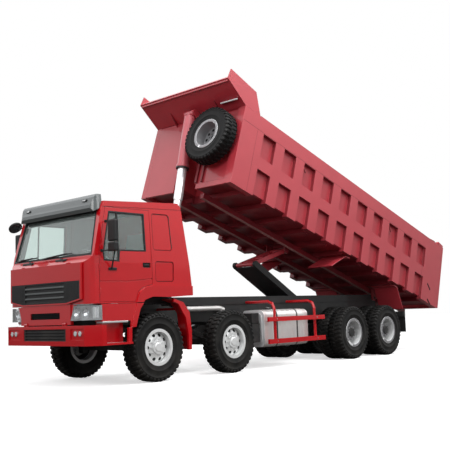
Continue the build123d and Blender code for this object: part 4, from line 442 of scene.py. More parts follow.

# %% [markdown]
# Every carried-over solid gets the finish of its record's material slot, so nothing is left in a plain
# colour. Finer pieces that replace a solid take the finish of its slot, unless they are given another.

# %% Finish each carried-over solid
SLOT_FINISH = {
    "bed_red": paint["bed paint"], "cab_red": paint["cab paint"], "frame_black": paint["frame paint"],
    "tyre": paint["tyre rubber"], "rim_silver": paint["wheel silver"],
    "tank_aluminium": paint["brushed aluminium"], "glass": glass["window glass"],
    "lamp_glass": glass["lamp lens"], "plastic_black": paint["black plastic"],
    "visor_grey": paint["visor plastic"], "chrome": paint["chrome plate"], "interior": paint["cab trim"],
}
node_slot = {row["node"]: row["material_slot"] for row in frame["record"]["subparts"]}
for node_name, solid in frame["nodes"].items():
    solid.data.materials.clear()
    solid.data.materials.append(SLOT_FINISH[node_slot[node_name]])
print("solids with a finish", len(frame["nodes"]))

# %% [markdown]
# ## Tools for modelling
# The same few moves make most pieces: place a primitive, push an outline into a plate, pick
# faces by a test, and round edges. They are written once here. A solid of the truck can also be
# dressed: its mesh is copied, its loose triangles are merged back into flat faces, and its
# sharp edges are rounded, which is how folded and pressed steel catches the light.

# %% Selecting and placing
def only(piece):
    """Select one piece and make it active."""
    bpy.ops.object.select_all(action="DESELECT")
    piece.select_set(True)
    bpy.context.view_layer.objects.active = piece


def settle(piece, name):
    """Name a piece and move its place and size into its mesh."""
    piece.name = name
    piece.data.name = name
    only(piece)
    bpy.ops.object.transform_apply(location=True, rotation=True, scale=True)
    return piece


def block(name, low, high):
    """A box between two corners, with x measured from the front axle."""
    bpy.ops.object.select_all(action="DESELECT")
    middle = [(a + b) / 2 for a, b in zip(low, high)]
    bpy.ops.mesh.primitive_cube_add(size=1, location=(middle[0] + FRONT_AXLE, middle[1], middle[2]))
    piece = bpy.context.object
    piece.scale = [abs(b - a) for a, b in zip(low, high)]
    return settle(piece, name)


def drum(name, start, end, radius, sides=24, far_radius=None):
    """A round bar or cone between two points."""
    start, end = Vector(start), Vector(end)
    run = end - start
    middle = (start + end) / 2 + Vector((FRONT_AXLE, 0, 0))
    bpy.ops.object.select_all(action="DESELECT")
    bpy.ops.mesh.primitive_cone_add(
        vertices=sides, radius1=radius, radius2=radius if far_radius is None else far_radius,
        depth=run.length, location=middle, rotation=run.to_track_quat("Z", "Y").to_euler(),
    )
    return settle(bpy.context.object, name)


def flat(outline, across, start):
    """A closed outline as one face, lying across an axis at a distance along it."""
    first, second = {"X": (1, 2), "Y": (0, 2), "Z": (0, 1)}[across]
    third = "XYZ".index(across)
    bpy.ops.object.select_all(action="DESELECT")
    bpy.ops.mesh.primitive_circle_add(vertices=len(outline), radius=1, fill_type="NGON")
    piece = bpy.context.object
    for vertex, point in zip(piece.data.vertices, outline):
        vertex.co[first], vertex.co[second] = point
        vertex.co[third] = start
        vertex.co.x += FRONT_AXLE
    return piece


print("placing tools ready, x from the front axle at", FRONT_AXLE)

# %% [markdown]
# In edit mode an operator acts on all that is selected, so each helper first selects exactly
# what it means. An outline becomes a plate by one extrusion. A flat frame is the same outline
# inset, with its middle deleted before the extrusion.

# %% Shaping in edit mode
def edit_all(piece):
    """Enter edit mode with the whole piece selected."""
    only(piece)
    bpy.ops.object.mode_set(mode="EDIT")
    bpy.ops.mesh.select_all(action="SELECT")


def done_editing():
    """Leave edit mode."""
    bpy.ops.object.mode_set(mode="OBJECT")


def face_outwards():
    """Turn every face outwards and leave edit mode."""
    bpy.ops.mesh.select_all(action="SELECT")
    bpy.ops.mesh.normals_make_consistent(inside=False)
    done_editing()


def push_out(piece, name, across, distance):
    """Extrude everything in a flat piece along an axis."""
    push = [0, 0, 0]
    push["XYZ".index(across)] = distance
    edit_all(piece)
    bpy.ops.mesh.extrude_region_move(TRANSFORM_OT_translate={"value": push})
    face_outwards()
    return settle(piece, name)


def plate(name, outline, across, start, end):
    """A closed outline pushed from start to end along the axis it lies across."""
    return push_out(flat(outline, across, start), name, across, end - start)


def ring(name, outline, across, width, start, end):
    """A flat frame: the outline is inset by the width, its middle removed, the rest pushed out."""
    piece = flat(outline, across, start)
    edit_all(piece)
    bpy.ops.mesh.select_mode(type="FACE")
    bpy.ops.mesh.inset(thickness=width, depth=0.0, use_boundary=True)
    bpy.ops.mesh.delete(type="FACE")
    done_editing()
    return push_out(piece, name, across, end - start)


def circle(radius, corners, middle=(0.0, 0.0)):
    """A round outline about its middle."""
    turns = [tau * k / corners for k in range(corners)]
    return [(middle[0] + radius * cos(angle), middle[1] + radius * sin(angle)) for angle in turns]


print("outline test, a square's corners", len(circle(1.0, 4)))

# %% [markdown]
# Without a mouse, faces are chosen by a rule: a test looks at each face's centre and normal.
# The chosen faces can then be shaped, deleted or given one more finish.

# %% Choosing faces
def pick_faces(piece, test):
    """Enter edit mode with only the faces whose centre and normal pass the test."""
    only(piece)
    bpy.ops.object.mode_set(mode="EDIT")
    bpy.ops.mesh.select_mode(type="FACE")
    bpy.ops.mesh.select_all(action="DESELECT")
    done_editing()
    for face in piece.data.polygons:
        face.select = bool(test(face.center - Vector((FRONT_AXLE, 0, 0)), face.normal))
    count = sum(face.select for face in piece.data.polygons)
    bpy.ops.object.mode_set(mode="EDIT")
    return count


def paint_faces(piece, material, test):
    """Give one more finish to the faces that pass a test."""
    piece.data.materials.append(material)
    count = pick_faces(piece, test)
    piece.active_material_index = len(piece.data.materials) - 1
    bpy.ops.object.material_slot_assign()
    done_editing()
    return count


print("face tools ready")

# %% [markdown]
# Real edges are never sharp, and a narrow bevel catches the light that tells the eye so. The
# bevel is a modifier that is applied at once, followed by weighted normals, which keep large
# flat faces flat in their shading.

# %% Rounding, joining and copying
def smooth_by_angle(piece, angle=35):
    """Shade a piece smooth, but keep edges sharper than the angle."""
    only(piece)
    bpy.ops.object.shade_smooth_by_angle(angle=radians(angle))


def round_edges(piece, width, segments=2, angle=30):
    """Bevel every edge sharper than the angle, then shade the piece smooth."""
    only(piece)
    bevel = piece.modifiers.new("rounded edges", "BEVEL")
    bevel.width, bevel.segments = width, segments
    bevel.limit_method, bevel.angle_limit = "ANGLE", radians(angle)
    bevel.use_clamp_overlap = True
    bevel.harden_normals = False
    bpy.ops.object.modifier_apply(modifier=bevel.name)
    smooth_by_angle(piece, 50)
    even = piece.modifiers.new("even shading", "WEIGHTED_NORMAL")
    even.weight, even.keep_sharp = 100, True
    bpy.ops.object.modifier_apply(modifier=even.name)
    return piece


def join(name, pieces):
    """Make several pieces one object."""
    only(pieces[0])
    for piece in pieces:
        piece.select_set(True)
    bpy.ops.object.join()
    return settle(bpy.context.object, name)


def copied(piece, name, turn=None):
    """A copy with its own mesh, moved by a matrix in the shared frame."""
    twin = piece.copy()
    twin.data = piece.data.copy()
    bpy.context.collection.objects.link(twin)
    if turn is not None:
        twin.data.transform(turn)
        if turn.determinant() < 0:
            twin.data.flip_normals()
    twin.name = name
    twin.data.name = name
    return twin


MIRROR_Y = Matrix.Diagonal((1, -1, 1, 1))
print("rounding tools ready")

# %% [markdown]
# A solid's mesh is loose triangles. Merging its doubled points and dissolving the edges inside flat faces
# gives back the plain faces that can be bevelled. Every finished piece is then put on the body it moves with,
# and the solids it replaces are hidden.

# %% Dressing a solid and putting a piece on a body
def merged_copy(node, name):
    """A solid's mesh as its own object, its loose triangles merged into flat faces."""
    solid = frame["nodes"][node]
    piece = bpy.data.objects.new(name, solid.data.copy())
    bpy.context.collection.objects.link(piece)
    piece.data.transform(solid.matrix_world)
    piece.data.name = name
    edit_all(piece)
    bpy.ops.mesh.remove_doubles(threshold=0.00005)
    bpy.ops.mesh.dissolve_limited(angle_limit=radians(0.5))
    face_outwards()
    return piece


PIECES = {}


def put_on(piece, material, body, replaces=()):
    """Finish a piece, make it ride on its body and hide the solids it replaces."""
    piece.data.materials.clear()
    piece.data.materials.append(material)
    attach(piece, body)
    if replaces:
        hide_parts(*replaces)
    PIECES[piece.name] = len(piece.data.polygons)
    return piece


node_body = {
    node: body for body, nodes in frame["record"]["behaviour"]["bodies"].items() for node in nodes
}


def dressed(node, width=0.004, segments=2, angle=30, material=None):
    """Replace a solid by its own merged mesh with rounded edges."""
    piece = round_edges(merged_copy(node, f"{node}_dressed"), width, segments, angle)
    slot = node_slot[node]
    return put_on(piece, material or SLOT_FINISH[slot], node_body[node], (node,))


print("modelling tools ready for", len(node_body), "solids")

# %% [markdown]
# ## Folded and pressed steel
# The cab, its doors, the bumper and the bed are the truck's large plain surfaces. Their solids
# have the right form, but no real sheet ends in a knife edge. Each is merged and its edges
# rounded, wider on the cab's pressings and narrow on thick welded plate.

# %% Dress the large pieces
DRESSED = (
    # node, edge radius, segments
    ("cab_shell", 0.010, 3), ("door_left", 0.005, 2), ("door_right", 0.005, 2),
    ("front_bumper", 0.007, 2), ("front_lid", 0.008, 2), ("visor", 0.034, 5),
    ("bed_sides", 0.006, 2), ("headboard", 0.006, 2), ("tailgate", 0.006, 2),
    ("front_mudguards", 0.004, 2), ("subframe", 0.004, 2), ("bed_mudguards", 0.003, 2),
)
for node, width, segments in DRESSED:
    piece = dressed(node, width, segments)
    print(piece.name, len(piece.data.polygons), "faces")

# %% [markdown]
# The cab is lined inside with grey trim, also where its shell is one sheet of steel. So the
# faces that look towards the middle of the cab get a second finish.

# %% Line the cab
CAB_MIDDLE = Vector((0.35, 0.0, 2.05))
CAB_INSIDE = ((-0.66, 1.36), (-1.139, 1.139), (1.33, 2.93))
LOOKS_INWARDS = 0.35


def faces_in(centre, normal):
    """Faces inside the cab that look towards its middle."""
    inside = all(low < value < high for (low, high), value in zip(CAB_INSIDE, centre))
    return inside and normal.dot((CAB_MIDDLE - centre).normalized()) > LOOKS_INWARDS


for node in ("cab_shell", "door_left", "door_right"):
    lined = paint_faces(bpy.data.objects[f"{node}_dressed"], paint["cab trim"], faces_in)
    print(node, "lined faces", lined)

# %% [markdown]
# ## Tyres
# A tipper's tyre has a rounded shoulder, a slightly bulging side with rings moulded in, and
# deep lugs that reach over the shoulder in two staggered rows. The carcass is one section spun
# about the axle. A lug could be cut into it, but eighty small blocks standing on it are cleaner
# to shade, so one lug is shaped and copied round, then mirrored half a pitch on.

# %% Tyre carcass
TYRE_R = 0.560
GROOVE_R = 0.545
LUGS = 40
CARCASS_SECTION = (
    # y and radius from the bead, over the tread, to the other bead
    (0.118, 0.262), (0.128, 0.268), (0.131, 0.282), (0.128, 0.292), (0.134, 0.300), (0.141, 0.330),
    (0.147, 0.372), (0.150, 0.376), (0.150, 0.386), (0.148, 0.390), (0.149, 0.440), (0.146, 0.480),
    (0.149, 0.484), (0.149, 0.494), (0.143, 0.500), (0.134, 0.526), (0.114, 0.540), (0.060, GROOVE_R),
)
spun_points = list(CARCASS_SECTION) + [(-y, r) for y, r in reversed(CARCASS_SECTION)]
bpy.ops.object.select_all(action="DESELECT")
bpy.ops.mesh.primitive_circle_add(vertices=len(spun_points), radius=1, fill_type="NOTHING")
carcass = bpy.context.object
for vertex, (y, radius) in zip(carcass.data.vertices, spun_points):
    vertex.co = (0, y, radius)
edit_all(carcass)
bpy.ops.mesh.spin(steps=60, angle=tau, center=(0, 0, 0), axis=(0, 1, 0))
bpy.ops.mesh.select_all(action="SELECT")
bpy.ops.mesh.remove_doubles(threshold=0.0001)
face_outwards()
settle(carcass, "tyre_carcass")
print("carcass", len(carcass.data.polygons), "faces")

# %% [markdown]
# One lug is a slanted plate that follows the shoulder. It is narrowed outwards and skewed
# towards the middle by moving its points, rounded once, and copied round the tyre. Neighbouring
# rows are mirrored and turned by half a pitch, as a tread's halves are.

# %% One lug, and the two rows
LUG_SECTION = (
    # y and height over the axle, round the lug's profile
    (0.014, 0.540), (0.014, 0.5585), (0.104, 0.5585), (0.130, 0.550), (0.148, 0.530), (0.150, 0.505),
    (0.140, 0.500), (0.120, 0.530),
)
LUG_HALF_LENGTH = 0.027
LUG_SKEW, SKEW_END_Y = 0.034, 0.11
LUG_TAPER, LUG_FOOT_R, LUG_HEIGHT = 0.22, 0.50, 0.06
lug = plate("lug", LUG_SECTION, "X", -LUG_HALF_LENGTH, LUG_HALF_LENGTH)
lug.data.transform(Matrix.Translation((-FRONT_AXLE, 0, 0)))
for vertex in lug.data.vertices:
    inward = max(0.0, SKEW_END_Y - vertex.co.y) / SKEW_END_Y
    vertex.co.x += LUG_SKEW * inward
    vertex.co.x *= 1.0 - LUG_TAPER * (vertex.co.z - LUG_FOOT_R) / LUG_HEIGHT
round_edges(lug, 0.004, 1)
lug_row = []
for k in range(LUGS):
    lug_row.append(copied(lug, f"lug_{k}", Matrix.Rotation(tau * k / LUGS, 4, "Y")))
left_row = join("lug_row", lug_row)
right_row = copied(left_row, "lug_row_mirrored", Matrix.Rotation(tau * 0.5 / LUGS, 4, "Y") @ MIRROR_Y)
tread_tyre = join("tread_tyre", [copied(carcass, "carcass_lugged"), left_row, right_row])
smooth_by_angle(tread_tyre, 40)
bpy.data.objects.remove(lug)
print("lugged tyre", len(tread_tyre.data.polygons), "faces")

# %% [markdown]
# Each axle end now gets its tyre. Front ends carry one, rear ends two on a shared hub, and one
# more lies on the bed's front wall, square to the others and turned with the raised bed.

# %% Place the tyres
AXLES = (
    # number, x from the front axle, y of each tyre's middle
    ("1", 0.0, (1.010,)), ("2", -1.800, (1.010,)),
    ("3", -5.490, (1.085, 0.755)), ("4", -6.840, (1.085, 0.755)),
)
SIDES = (("left", 1), ("right", -1))
TREAD_SHIFT = 0.17
for number, axle_x, tyre_y in AXLES:
    for side_name, side in SIDES:
        # every wheel is turned a little, or all the treads would line up
        turn = Matrix.Rotation(TREAD_SHIFT * (axle_x + 7 * side), 4, "Y")
        parts = []
        for y in tyre_y:
            place = Matrix.Translation((axle_x + FRONT_AXLE, side * y, TYRE_R))
            parts.append(copied(tread_tyre, f"part_{y}", place @ turn))
        tyre = join(f"tyre_{side_name}_{number}_lugged", parts)
        stands_for = (f"tyre_{side_name}_{number}",)
        put_on(tyre, paint["tyre rubber"], f"wheel_{side_name}_{number}", stands_for)
print("tyres on the road", sum("lugged" in name for name in PIECES))

# %% [markdown]
# The bed is shown raised about its rear pivot. One matrix holds that turn, and everything that
# is drawn on the lowered bed goes through it. The first such piece is the spare tyre.

# %% The raised bed and the spare tyre on it
BED_ANGLE = radians(18.3)
BED_PIVOT_X, BED_PIVOT_Z = -7.5, 1.3
BED_PIVOT = Vector((BED_PIVOT_X + FRONT_AXLE, 0, BED_PIVOT_Z))
RAISE = (
    Matrix.Translation(BED_PIVOT) @ Matrix.Rotation(-BED_ANGLE, 4, "Y") @ Matrix.Translation(-BED_PIVOT)
)


def on_bed(u, y, v):
    """A place on the raised bed: u ahead of its pivot, v above it."""
    return RAISE @ (BED_PIVOT + Vector((u, y, v)))


SPARE_PLACE = Vector((6.364, 0.700, 1.155))
spare_turn = RAISE @ Matrix.Translation(BED_PIVOT + SPARE_PLACE) @ Matrix.Rotation(pi / 2, 4, "Z")
spare = copied(tread_tyre, "spare_tyre_lugged", spare_turn)
put_on(spare, paint["tyre rubber"], "bed", ("spare_tyre",))
bpy.data.objects.remove(tread_tyre)
bpy.data.objects.remove(carcass)
print("tyres with the spare", sum("lugged" in name for name in PIECES))

# %% [markdown]
# ## Wheels
# The front wheels are bright dished discs with ten hand holes, ten nuts and a hub cover in the middle. The
# rear ones are the same wheel turned inwards, so one looks into a deep grey dish with a dark hub at its
# bottom. The solids have those forms, so they are dressed, and the faces near the axle get a finish of their
# own. The outer flange gets a paler finish, a painted highlight along the rim's lip.

# %% Dress the rims
FLANGE_R, DARK_HUB_R, BRIGHT_HUB_R = 0.244, 0.150, 0.118


def near_axle(axle_x, radius):
    """A test for faces of a wheel that lie near its axle."""
    return lambda centre, normal: hypot(centre.x - axle_x, centre.z - TYRE_R) < radius


def on_flange(axle_x, face_y):
    """A test for faces of a wheel's outer flange."""
    return lambda centre, normal: (
        hypot(centre.x - axle_x, centre.z - TYRE_R) > FLANGE_R and abs(centre.y) > face_y
    )


for number, axle_x, tyre_y in AXLES:
    for side_name, side in SIDES:
        rim = dressed(f"rim_{side_name}_{number}", 0.003, 2, 35)
        if len(tyre_y) == 2:
            paint_faces(rim, paint["dull steel"], near_axle(axle_x, DARK_HUB_R))
        else:
            paint_faces(rim, paint["wheel silver"], near_axle(axle_x, BRIGHT_HUB_R))
        # the paler flange is a painted highlight along the rim's lip
        paint_faces(rim, paint["rim edge"], on_flange(axle_x, tyre_y[0] + 0.10))
print("rims", 2 * len(AXLES))

# %% [markdown]
# Hand holes look black, because there is only shadow behind them. Cutting them through the disc
# would show the lit inside of the rim, so a thin dark ring stands behind the disc, and a dark
# plug lies in each hole, leaned with the cone of a front wheel or flat on a rear one. A narrow
# ring darkens the gap between a front wheel's disc and its rim.

# %% Dark hand holes
HAND_HOLES, HOLE_REACH, HOLE_R = 10, 0.200, 0.029
SHADE_RING = (0.160, 0.240)
GAP_R = 0.2475
for number, axle_x, tyre_y in AXLES:
    twin = len(tyre_y) == 2
    axle = (axle_x, TYRE_R)
    back_y, face_y, lean = (0.888, 0.9425, 0.0) if twin else (1.030, 1.0835, 0.45)
    for side_name, side in SIDES:
        shade = ring(
            f"hole_shade_{side_name}_{number}", circle(SHADE_RING[1], 40, axle), "Y",
            SHADE_RING[1] - SHADE_RING[0], side * back_y, side * back_y - side * 0.003,
        )
        put_on(shade, paint["dark cavity"], f"wheel_{side_name}_{number}")
        plugs = []
        for k in range(HAND_HOLES):
            angle = tau * (k + 0.5) / HAND_HOLES
            spoke = Vector((sin(angle), 0, cos(angle)))
            facing = (spoke * lean + Vector((0, side, 0))).normalized()
            spot = Vector((axle_x, side * face_y, TYRE_R)) + spoke * HOLE_REACH
            plugs.append(drum("plug", spot - facing * 0.004, spot + facing * 0.0015, HOLE_R, 20))
        if not twin:
            plugs.append(ring("gap", circle(GAP_R, 48, axle), "Y", 0.007, side * 1.0575, side * 1.0605))
        plugs = join(f"hand_holes_{side_name}_{number}", plugs)
        put_on(plugs, paint["dark cavity"], f"wheel_{side_name}_{number}")
print("hand holes", 2 * HAND_HOLES * len(AXLES))

# %% [markdown]
# A hub ends in a shallow domed cover inside a ring of small bolts. A cone with a rounded edge
# gives the dome with few faces. The rear hubs are larger, painted black like the axle.

# %% Hub covers
HUBS = (
    # axle, y of the hub's end face, cover radius, cover depth, bolts, finish
    ("1", 1.132, 0.082, 0.018, 8, "wheel silver"), ("2", 1.132, 0.082, 0.018, 8, "wheel silver"),
    ("3", 1.150, 0.105, 0.030, 10, "frame paint"), ("4", 1.150, 0.105, 0.030, 10, "frame paint"),
)
AXLE_X = {number: axle_x for number, axle_x, _ in AXLES}
for number, face_y, cover_r, depth, bolts, hub_paint in HUBS:
    for side_name, side in SIDES:
        end = Vector((AXLE_X[number], side * (face_y - 0.004), TYRE_R))
        out = Vector((0, side, 0))
        cover = drum("cover", end, end + out * depth, cover_r, 28, cover_r * 0.82)
        parts = [round_edges(cover, 0.008, 3)]
        for k in range(bolts):
            angle = tau * k / bolts
            spot = end + Vector((cos(angle), 0, sin(angle))) * (cover_r + 0.014)
            parts.append(drum("bolt", spot, spot + out * 0.014, 0.009, 6))
        hub = join(f"hub_cover_{side_name}_{number}", parts)
        put_on(hub, paint[hub_paint], f"wheel_{side_name}_{number}")
print("hub covers", 2 * len(HUBS))

# %% [markdown]
# ## The cab's seams, frames and handles
# The cab's sides stand upright up to the belt line and lean in above it. Window frames, the door gaps and the
# pressed seams all lie on that skin, so each is drawn as an upright frame and then leaned by the same rule.
# The gaps and seams get thin dark red frames of painted shadow, and these dark lines are what makes the
# panels readable from a distance.

# %% Lean a piece onto the cab's side
CAB_HALF = 1.150
CAB_BELT_Z, CAB_TOP_Z, CAB_LEAN = 1.900, 2.972, 0.065


def lean_in(piece, side):
    """Shift what lies above the belt line inwards with the cab's side."""
    for vertex in piece.data.vertices:
        above = max(0.0, vertex.co.z - CAB_BELT_Z) / (CAB_TOP_Z - CAB_BELT_Z)
        vertex.co.y -= side * CAB_LEAN * above
    return piece


DOOR_EDGE = (
    (0.115, 1.577), (0.115, 1.900), (0.115, 2.790), (1.015, 2.790), (1.180, 2.060), (1.180, 1.900),
    (1.180, 1.306), (0.482, 1.306), (0.412, 1.464), (0.296, 1.540),
)
WINDOW_EDGE = (
    (0.225, 2.105), (0.225, 2.730), (0.955, 2.730), (1.108, 2.060), (1.092, 1.940),
    (0.785, 1.930), (0.762, 2.100),
)
SLEEPER_EDGES = (
    # the blanked window and the locker under it
    ((0.070, 2.175), (0.070, 2.710), (0.035, 2.750), (-0.285, 2.750), (-0.320, 2.710),
     (-0.352, 2.175), (-0.318, 2.135), (0.036, 2.135)),
    ((0.045, 1.650), (0.045, 1.925), (0.015, 1.955), (-0.335, 1.955), (-0.365, 1.925),
     (-0.356, 1.650), (-0.328, 1.620), (0.018, 1.620)),
)
CENTRE_BAR = ((0.776, 2.060), (0.800, 2.060), (0.800, 2.720), (0.776, 2.720))
for side_name, side in SIDES:
    door = f"door_{side_name}"
    face_y = side * CAB_HALF
    # a thin dark red frame round the door: painted shadow in the door's gap
    gap_shadow = ring("gap_shadow", DOOR_EDGE, "Y", 0.013, face_y - side * 0.020, face_y - side * 0.0005)
    put_on(join(f"door_gap_shadow_{side_name}", [lean_in(gap_shadow, side)]), paint["seam shadow"], door)
    edge = ring("frame", WINDOW_EDGE, "Y", 0.026, face_y - side * 0.030, face_y + side * 0.002)
    edge = round_edges(lean_in(edge, side), 0.004, 2)
    bar = plate("bar", CENTRE_BAR, "Y", face_y - side * 0.016, face_y - side * 0.004)
    window_frame = join(f"window_frame_{side_name}", [edge, lean_in(bar, side)])
    put_on(window_frame, paint["black plastic"], door)
    seams = []
    for edge in SLEEPER_EDGES:
        # a thin dark red frame of painted shadow along each pressed outline
        seam = ring("seam", edge, "Y", 0.013, face_y - side * 0.014, face_y - side * 0.0065)
        seams.append(lean_in(seam, side))
    put_on(join(f"sleeper_seams_{side_name}", seams), paint["seam shadow"], "cab")
print("seals, frames and seams on both sides")

# %% [markdown]
# A door's handle is a bow over a dark recess, with a small round lock. The solid door already
# has the recess, so a back plate, a rounded bow and a short drum are enough.

# %% Door handles
for side_name, side in SIDES:
    face_y = side * CAB_HALF
    back = block("back", (0.153, face_y - side * 0.023, 1.848), (0.309, face_y - side * 0.016, 1.922))
    bow = block("bow", (0.166, face_y - side * 0.018, 1.872), (0.296, face_y + side * 0.002, 1.900))
    round_edges(bow, 0.007, 3)
    lock_end = (0.182, face_y - side * 0.006, 1.858)
    lock = drum("lock", (0.182, face_y - side * 0.018, 1.858), lock_end, 0.008, 16)
    handle = join(f"door_handle_{side_name}", [back, bow, lock])
    put_on(handle, paint["black plastic"], f"door_{side_name}")
print("handles", len(SIDES))

# %% [markdown]
# ## Windscreen, wipers and cowl
# The windscreen is set in a wide rubber strip that follows its slope. Two long wipers are parked
# low across it. Each arm springs from a spindle in a dark cowl plate under the glass.

# %% Windscreen strip
SLOPE_FOOT = (1.285, 2.010)
SLOPE = -0.25


def on_slope(piece, proud=0.0):
    """Lay a piece drawn at x = 0 on the windscreen's slope."""
    for vertex in piece.data.vertices:
        vertex.co.x += SLOPE_FOOT[0] + SLOPE * (vertex.co.z - SLOPE_FOOT[1]) + proud
    return piece


SCREEN_EDGE = ((-1.090, 2.032), (1.090, 2.032), (1.008, 2.742), (-1.008, 2.742))
HEADER_EDGE = ((-1.000, 2.640), (1.000, 2.640), (0.985, 2.735), (-0.985, 2.735))
strip = on_slope(ring("windscreen_strip", SCREEN_EDGE, "X", 0.030, -0.012, 0.004))
round_edges(strip, 0.003, 2)
put_on(strip, paint["black plastic"], "cab")
header = on_slope(plate("windscreen_header", HEADER_EDGE, "X", -0.034, -0.030))
put_on(header, paint["dark cavity"], "cab")
print("windscreen strip", len(strip.data.polygons), "faces")

# %% [markdown]
# A wiper is a blade, a spine that presses it, a tapering arm and the boss it turns on. All four
# are thin round bars drawn upright at x = 0, and the finished wiper is then laid on the slope.

# %% Wipers and cowl vents
WIPERS = (
    # blade's inner end, blade's outer end, spindle, each as y and z on the slope
    ((-0.968, 2.060), (-0.388, 2.085), (-0.480, 1.985)),
    ((-0.211, 2.052), (0.596, 2.092), (0.420, 1.985)),
)
for number, (low_end, high_end, spindle) in enumerate(WIPERS, 1):
    blade = drum("blade", (0.018, *low_end), (0.018, *high_end), 0.011, 8)
    spine_low = (0.030, low_end[0] + 0.12, low_end[1] + 0.010)
    spine_high = (0.030, high_end[0] - 0.12, high_end[1] + 0.006)
    spine = drum("spine", spine_low, spine_high, 0.008, 8)
    middle = tuple((a + b) / 2 for a, b in zip(spine_low, spine_high))
    arm = drum("arm", (0.038, *spindle), middle, 0.013, 8, 0.007)
    boss = drum("boss", (0.000, *spindle), (0.046, *spindle), 0.022, 16)
    wiper = on_slope(join(f"wiper_{number}", [blade, spine, arm, boss]))
    put_on(wiper, paint["black plastic"], "cab")
cowl = []
for y in (-0.62, 0.33):
    vent = block("vent", (-0.004, y - 0.15, 1.972), (0.034, y + 0.15, 2.012))
    cowl.append(on_slope(round_edges(vent, 0.010, 3)))
put_on(join("cowl_vents", cowl), paint["black plastic"], "cab")
print("wipers", len(WIPERS), "vents", len(cowl))

# %% [markdown]
# ## Mirrors
# The left door carries a tall flat mirror over a small wide-angle one, both in moulded housings
# with round corners. On the right the pair is folded back, and a round mirror looks down at
# the kerb from the door's top corner. The glass faces the driver, so it sits in the rear faces.

# %% Mirror housings and glass
MIRRORS = (
    # side, rear face x, inner edge, outer edge
    ("left", 1, 1.005, 1.240, 1.420), ("right", -1, 1.040, 1.175, 1.335),
)
MIRROR_Z = ((2.230, 2.560), (2.075, 2.215))
MIRROR_ARMS = ((1.125, 1.120, 2.095), (1.020, 1.095, 2.560))
MIRROR_DEPTH, RIM_WIDTH, ROD_R = 0.085, 0.018, 0.011


def kerb_mirror(side):
    """The round mirror that looks down at the kerb: its dish, its stem and its pane."""
    lean = Vector((0, side * 0.65, 0.76)).normalized()
    middle = Vector((1.165, side * 1.250, 2.680))
    dish = drum("dish", middle - lean * 0.025, middle + lean * 0.025, 0.119, 40)
    round_edges(dish, 0.020, 4)
    stem = drum("stem", (1.015, side * 1.092, 2.655), tuple(middle), ROD_R, 14)
    return dish, stem, drum("round_pane", middle - lean * 0.0255, middle - lean * 0.020, 0.098, 40)


for side_name, side, rear_x, inner, outer in MIRRORS:
    parts, panes = [], []
    for low_z, high_z in MIRROR_Z:
        far_corner = (rear_x + MIRROR_DEPTH, side * outer, high_z)
        shell = block("shell", (rear_x, side * inner, low_z), far_corner)
        parts.append(round_edges(shell, 0.024, 4))
        panes.append(block(
            "pane", (rear_x - 0.0005, side * (inner + RIM_WIDTH), low_z + RIM_WIDTH),
            (rear_x + 0.004, side * (outer - RIM_WIDTH), high_z - RIM_WIDTH),
        ))
    post = (rear_x + 0.015, side * (inner + outer) / 2)
    parts.append(drum("post", (*post, 2.070), (*post, 2.580), ROD_R, 14))
    for start_x, start_y, z in MIRROR_ARMS:
        parts.append(drum("arm", (start_x, side * start_y, z), (*post, z), ROD_R, 14))
        foot_y = side * (start_y + 0.012)
        foot_end = (start_x, foot_y + side * 0.012, z)
        parts.append(drum("foot", (start_x, foot_y - side * 0.006, z), foot_end, 0.026, 18))
    if side_name == "left":
        bracket = block("bracket", (0.850, 1.149, 1.795), (1.010, 1.166, 1.838))
        parts.append(round_edges(bracket, 0.006, 2))
        parts.append(drum("brace", (0.950, 1.160, 1.820), (*post, 2.080), 0.012, 14))
    else:
        dish, stem, round_pane = kerb_mirror(side)
        parts += [dish, stem]
        panes.append(round_pane)
    door = f"door_{side_name}"
    mirrors = join(f"mirror_housings_{side_name}", parts)
    put_on(mirrors, paint["black plastic"], door, (f"mirrors_{side_name}",))
    put_on(join(f"mirror_glass_{side_name}", panes), paint["mirror glass"], door)
print("mirrors on", len(MIRRORS), "doors")

# %% [markdown]
# ## Headlamps
# Each headlamp is a deep tray behind a clear wrap-round lens, with two round reflectors and a
# turn signal at its outer corner. A solid block of glass would look milky, so the solid's
# front faces become a thin lens, its other faces a bright tray, and the bowls go between them.

# %% Lens and tray
lens = merged_copy("headlamps", "headlamp_lenses")
tray = copied(lens, "headlamp_trays")


def faces_out(centre, normal):
    """Faces of a lamp that look ahead or to its side."""
    return normal.x > 0.15 or (abs(normal.y) > 0.9 and abs(centre.y) > 1.15)


def faces_back(centre, normal):
    """All other faces of a lamp."""
    return not faces_out(centre, normal)


for thin, not_wanted, depth in ((lens, faces_back, 0.004), (tray, faces_out, 0.003)):
    pick_faces(thin, not_wanted)
    bpy.ops.mesh.delete(type="FACE")
    done_editing()
    wall = thin.modifiers.new("thickness", "SOLIDIFY")
    wall.thickness, wall.offset = depth, -1.0
    bpy.ops.object.modifier_apply(modifier=wall.name)
    smooth_by_angle(thin, 30)
put_on(lens, glass["lamp lens"], "cab", ("headlamps",))
put_on(tray, paint["lamp tray"], "cab")
print("lens", len(lens.data.polygons), "faces, tray", len(tray.data.polygons), "faces")

# %% [markdown]
# A reflector is a bowl that opens to the front. It starts as a cone with a wide mouth; the
# mouth's face is inset, made smaller and moved back, which leaves the hollow of the bowl. A
# small cone in it stands for the bulb.

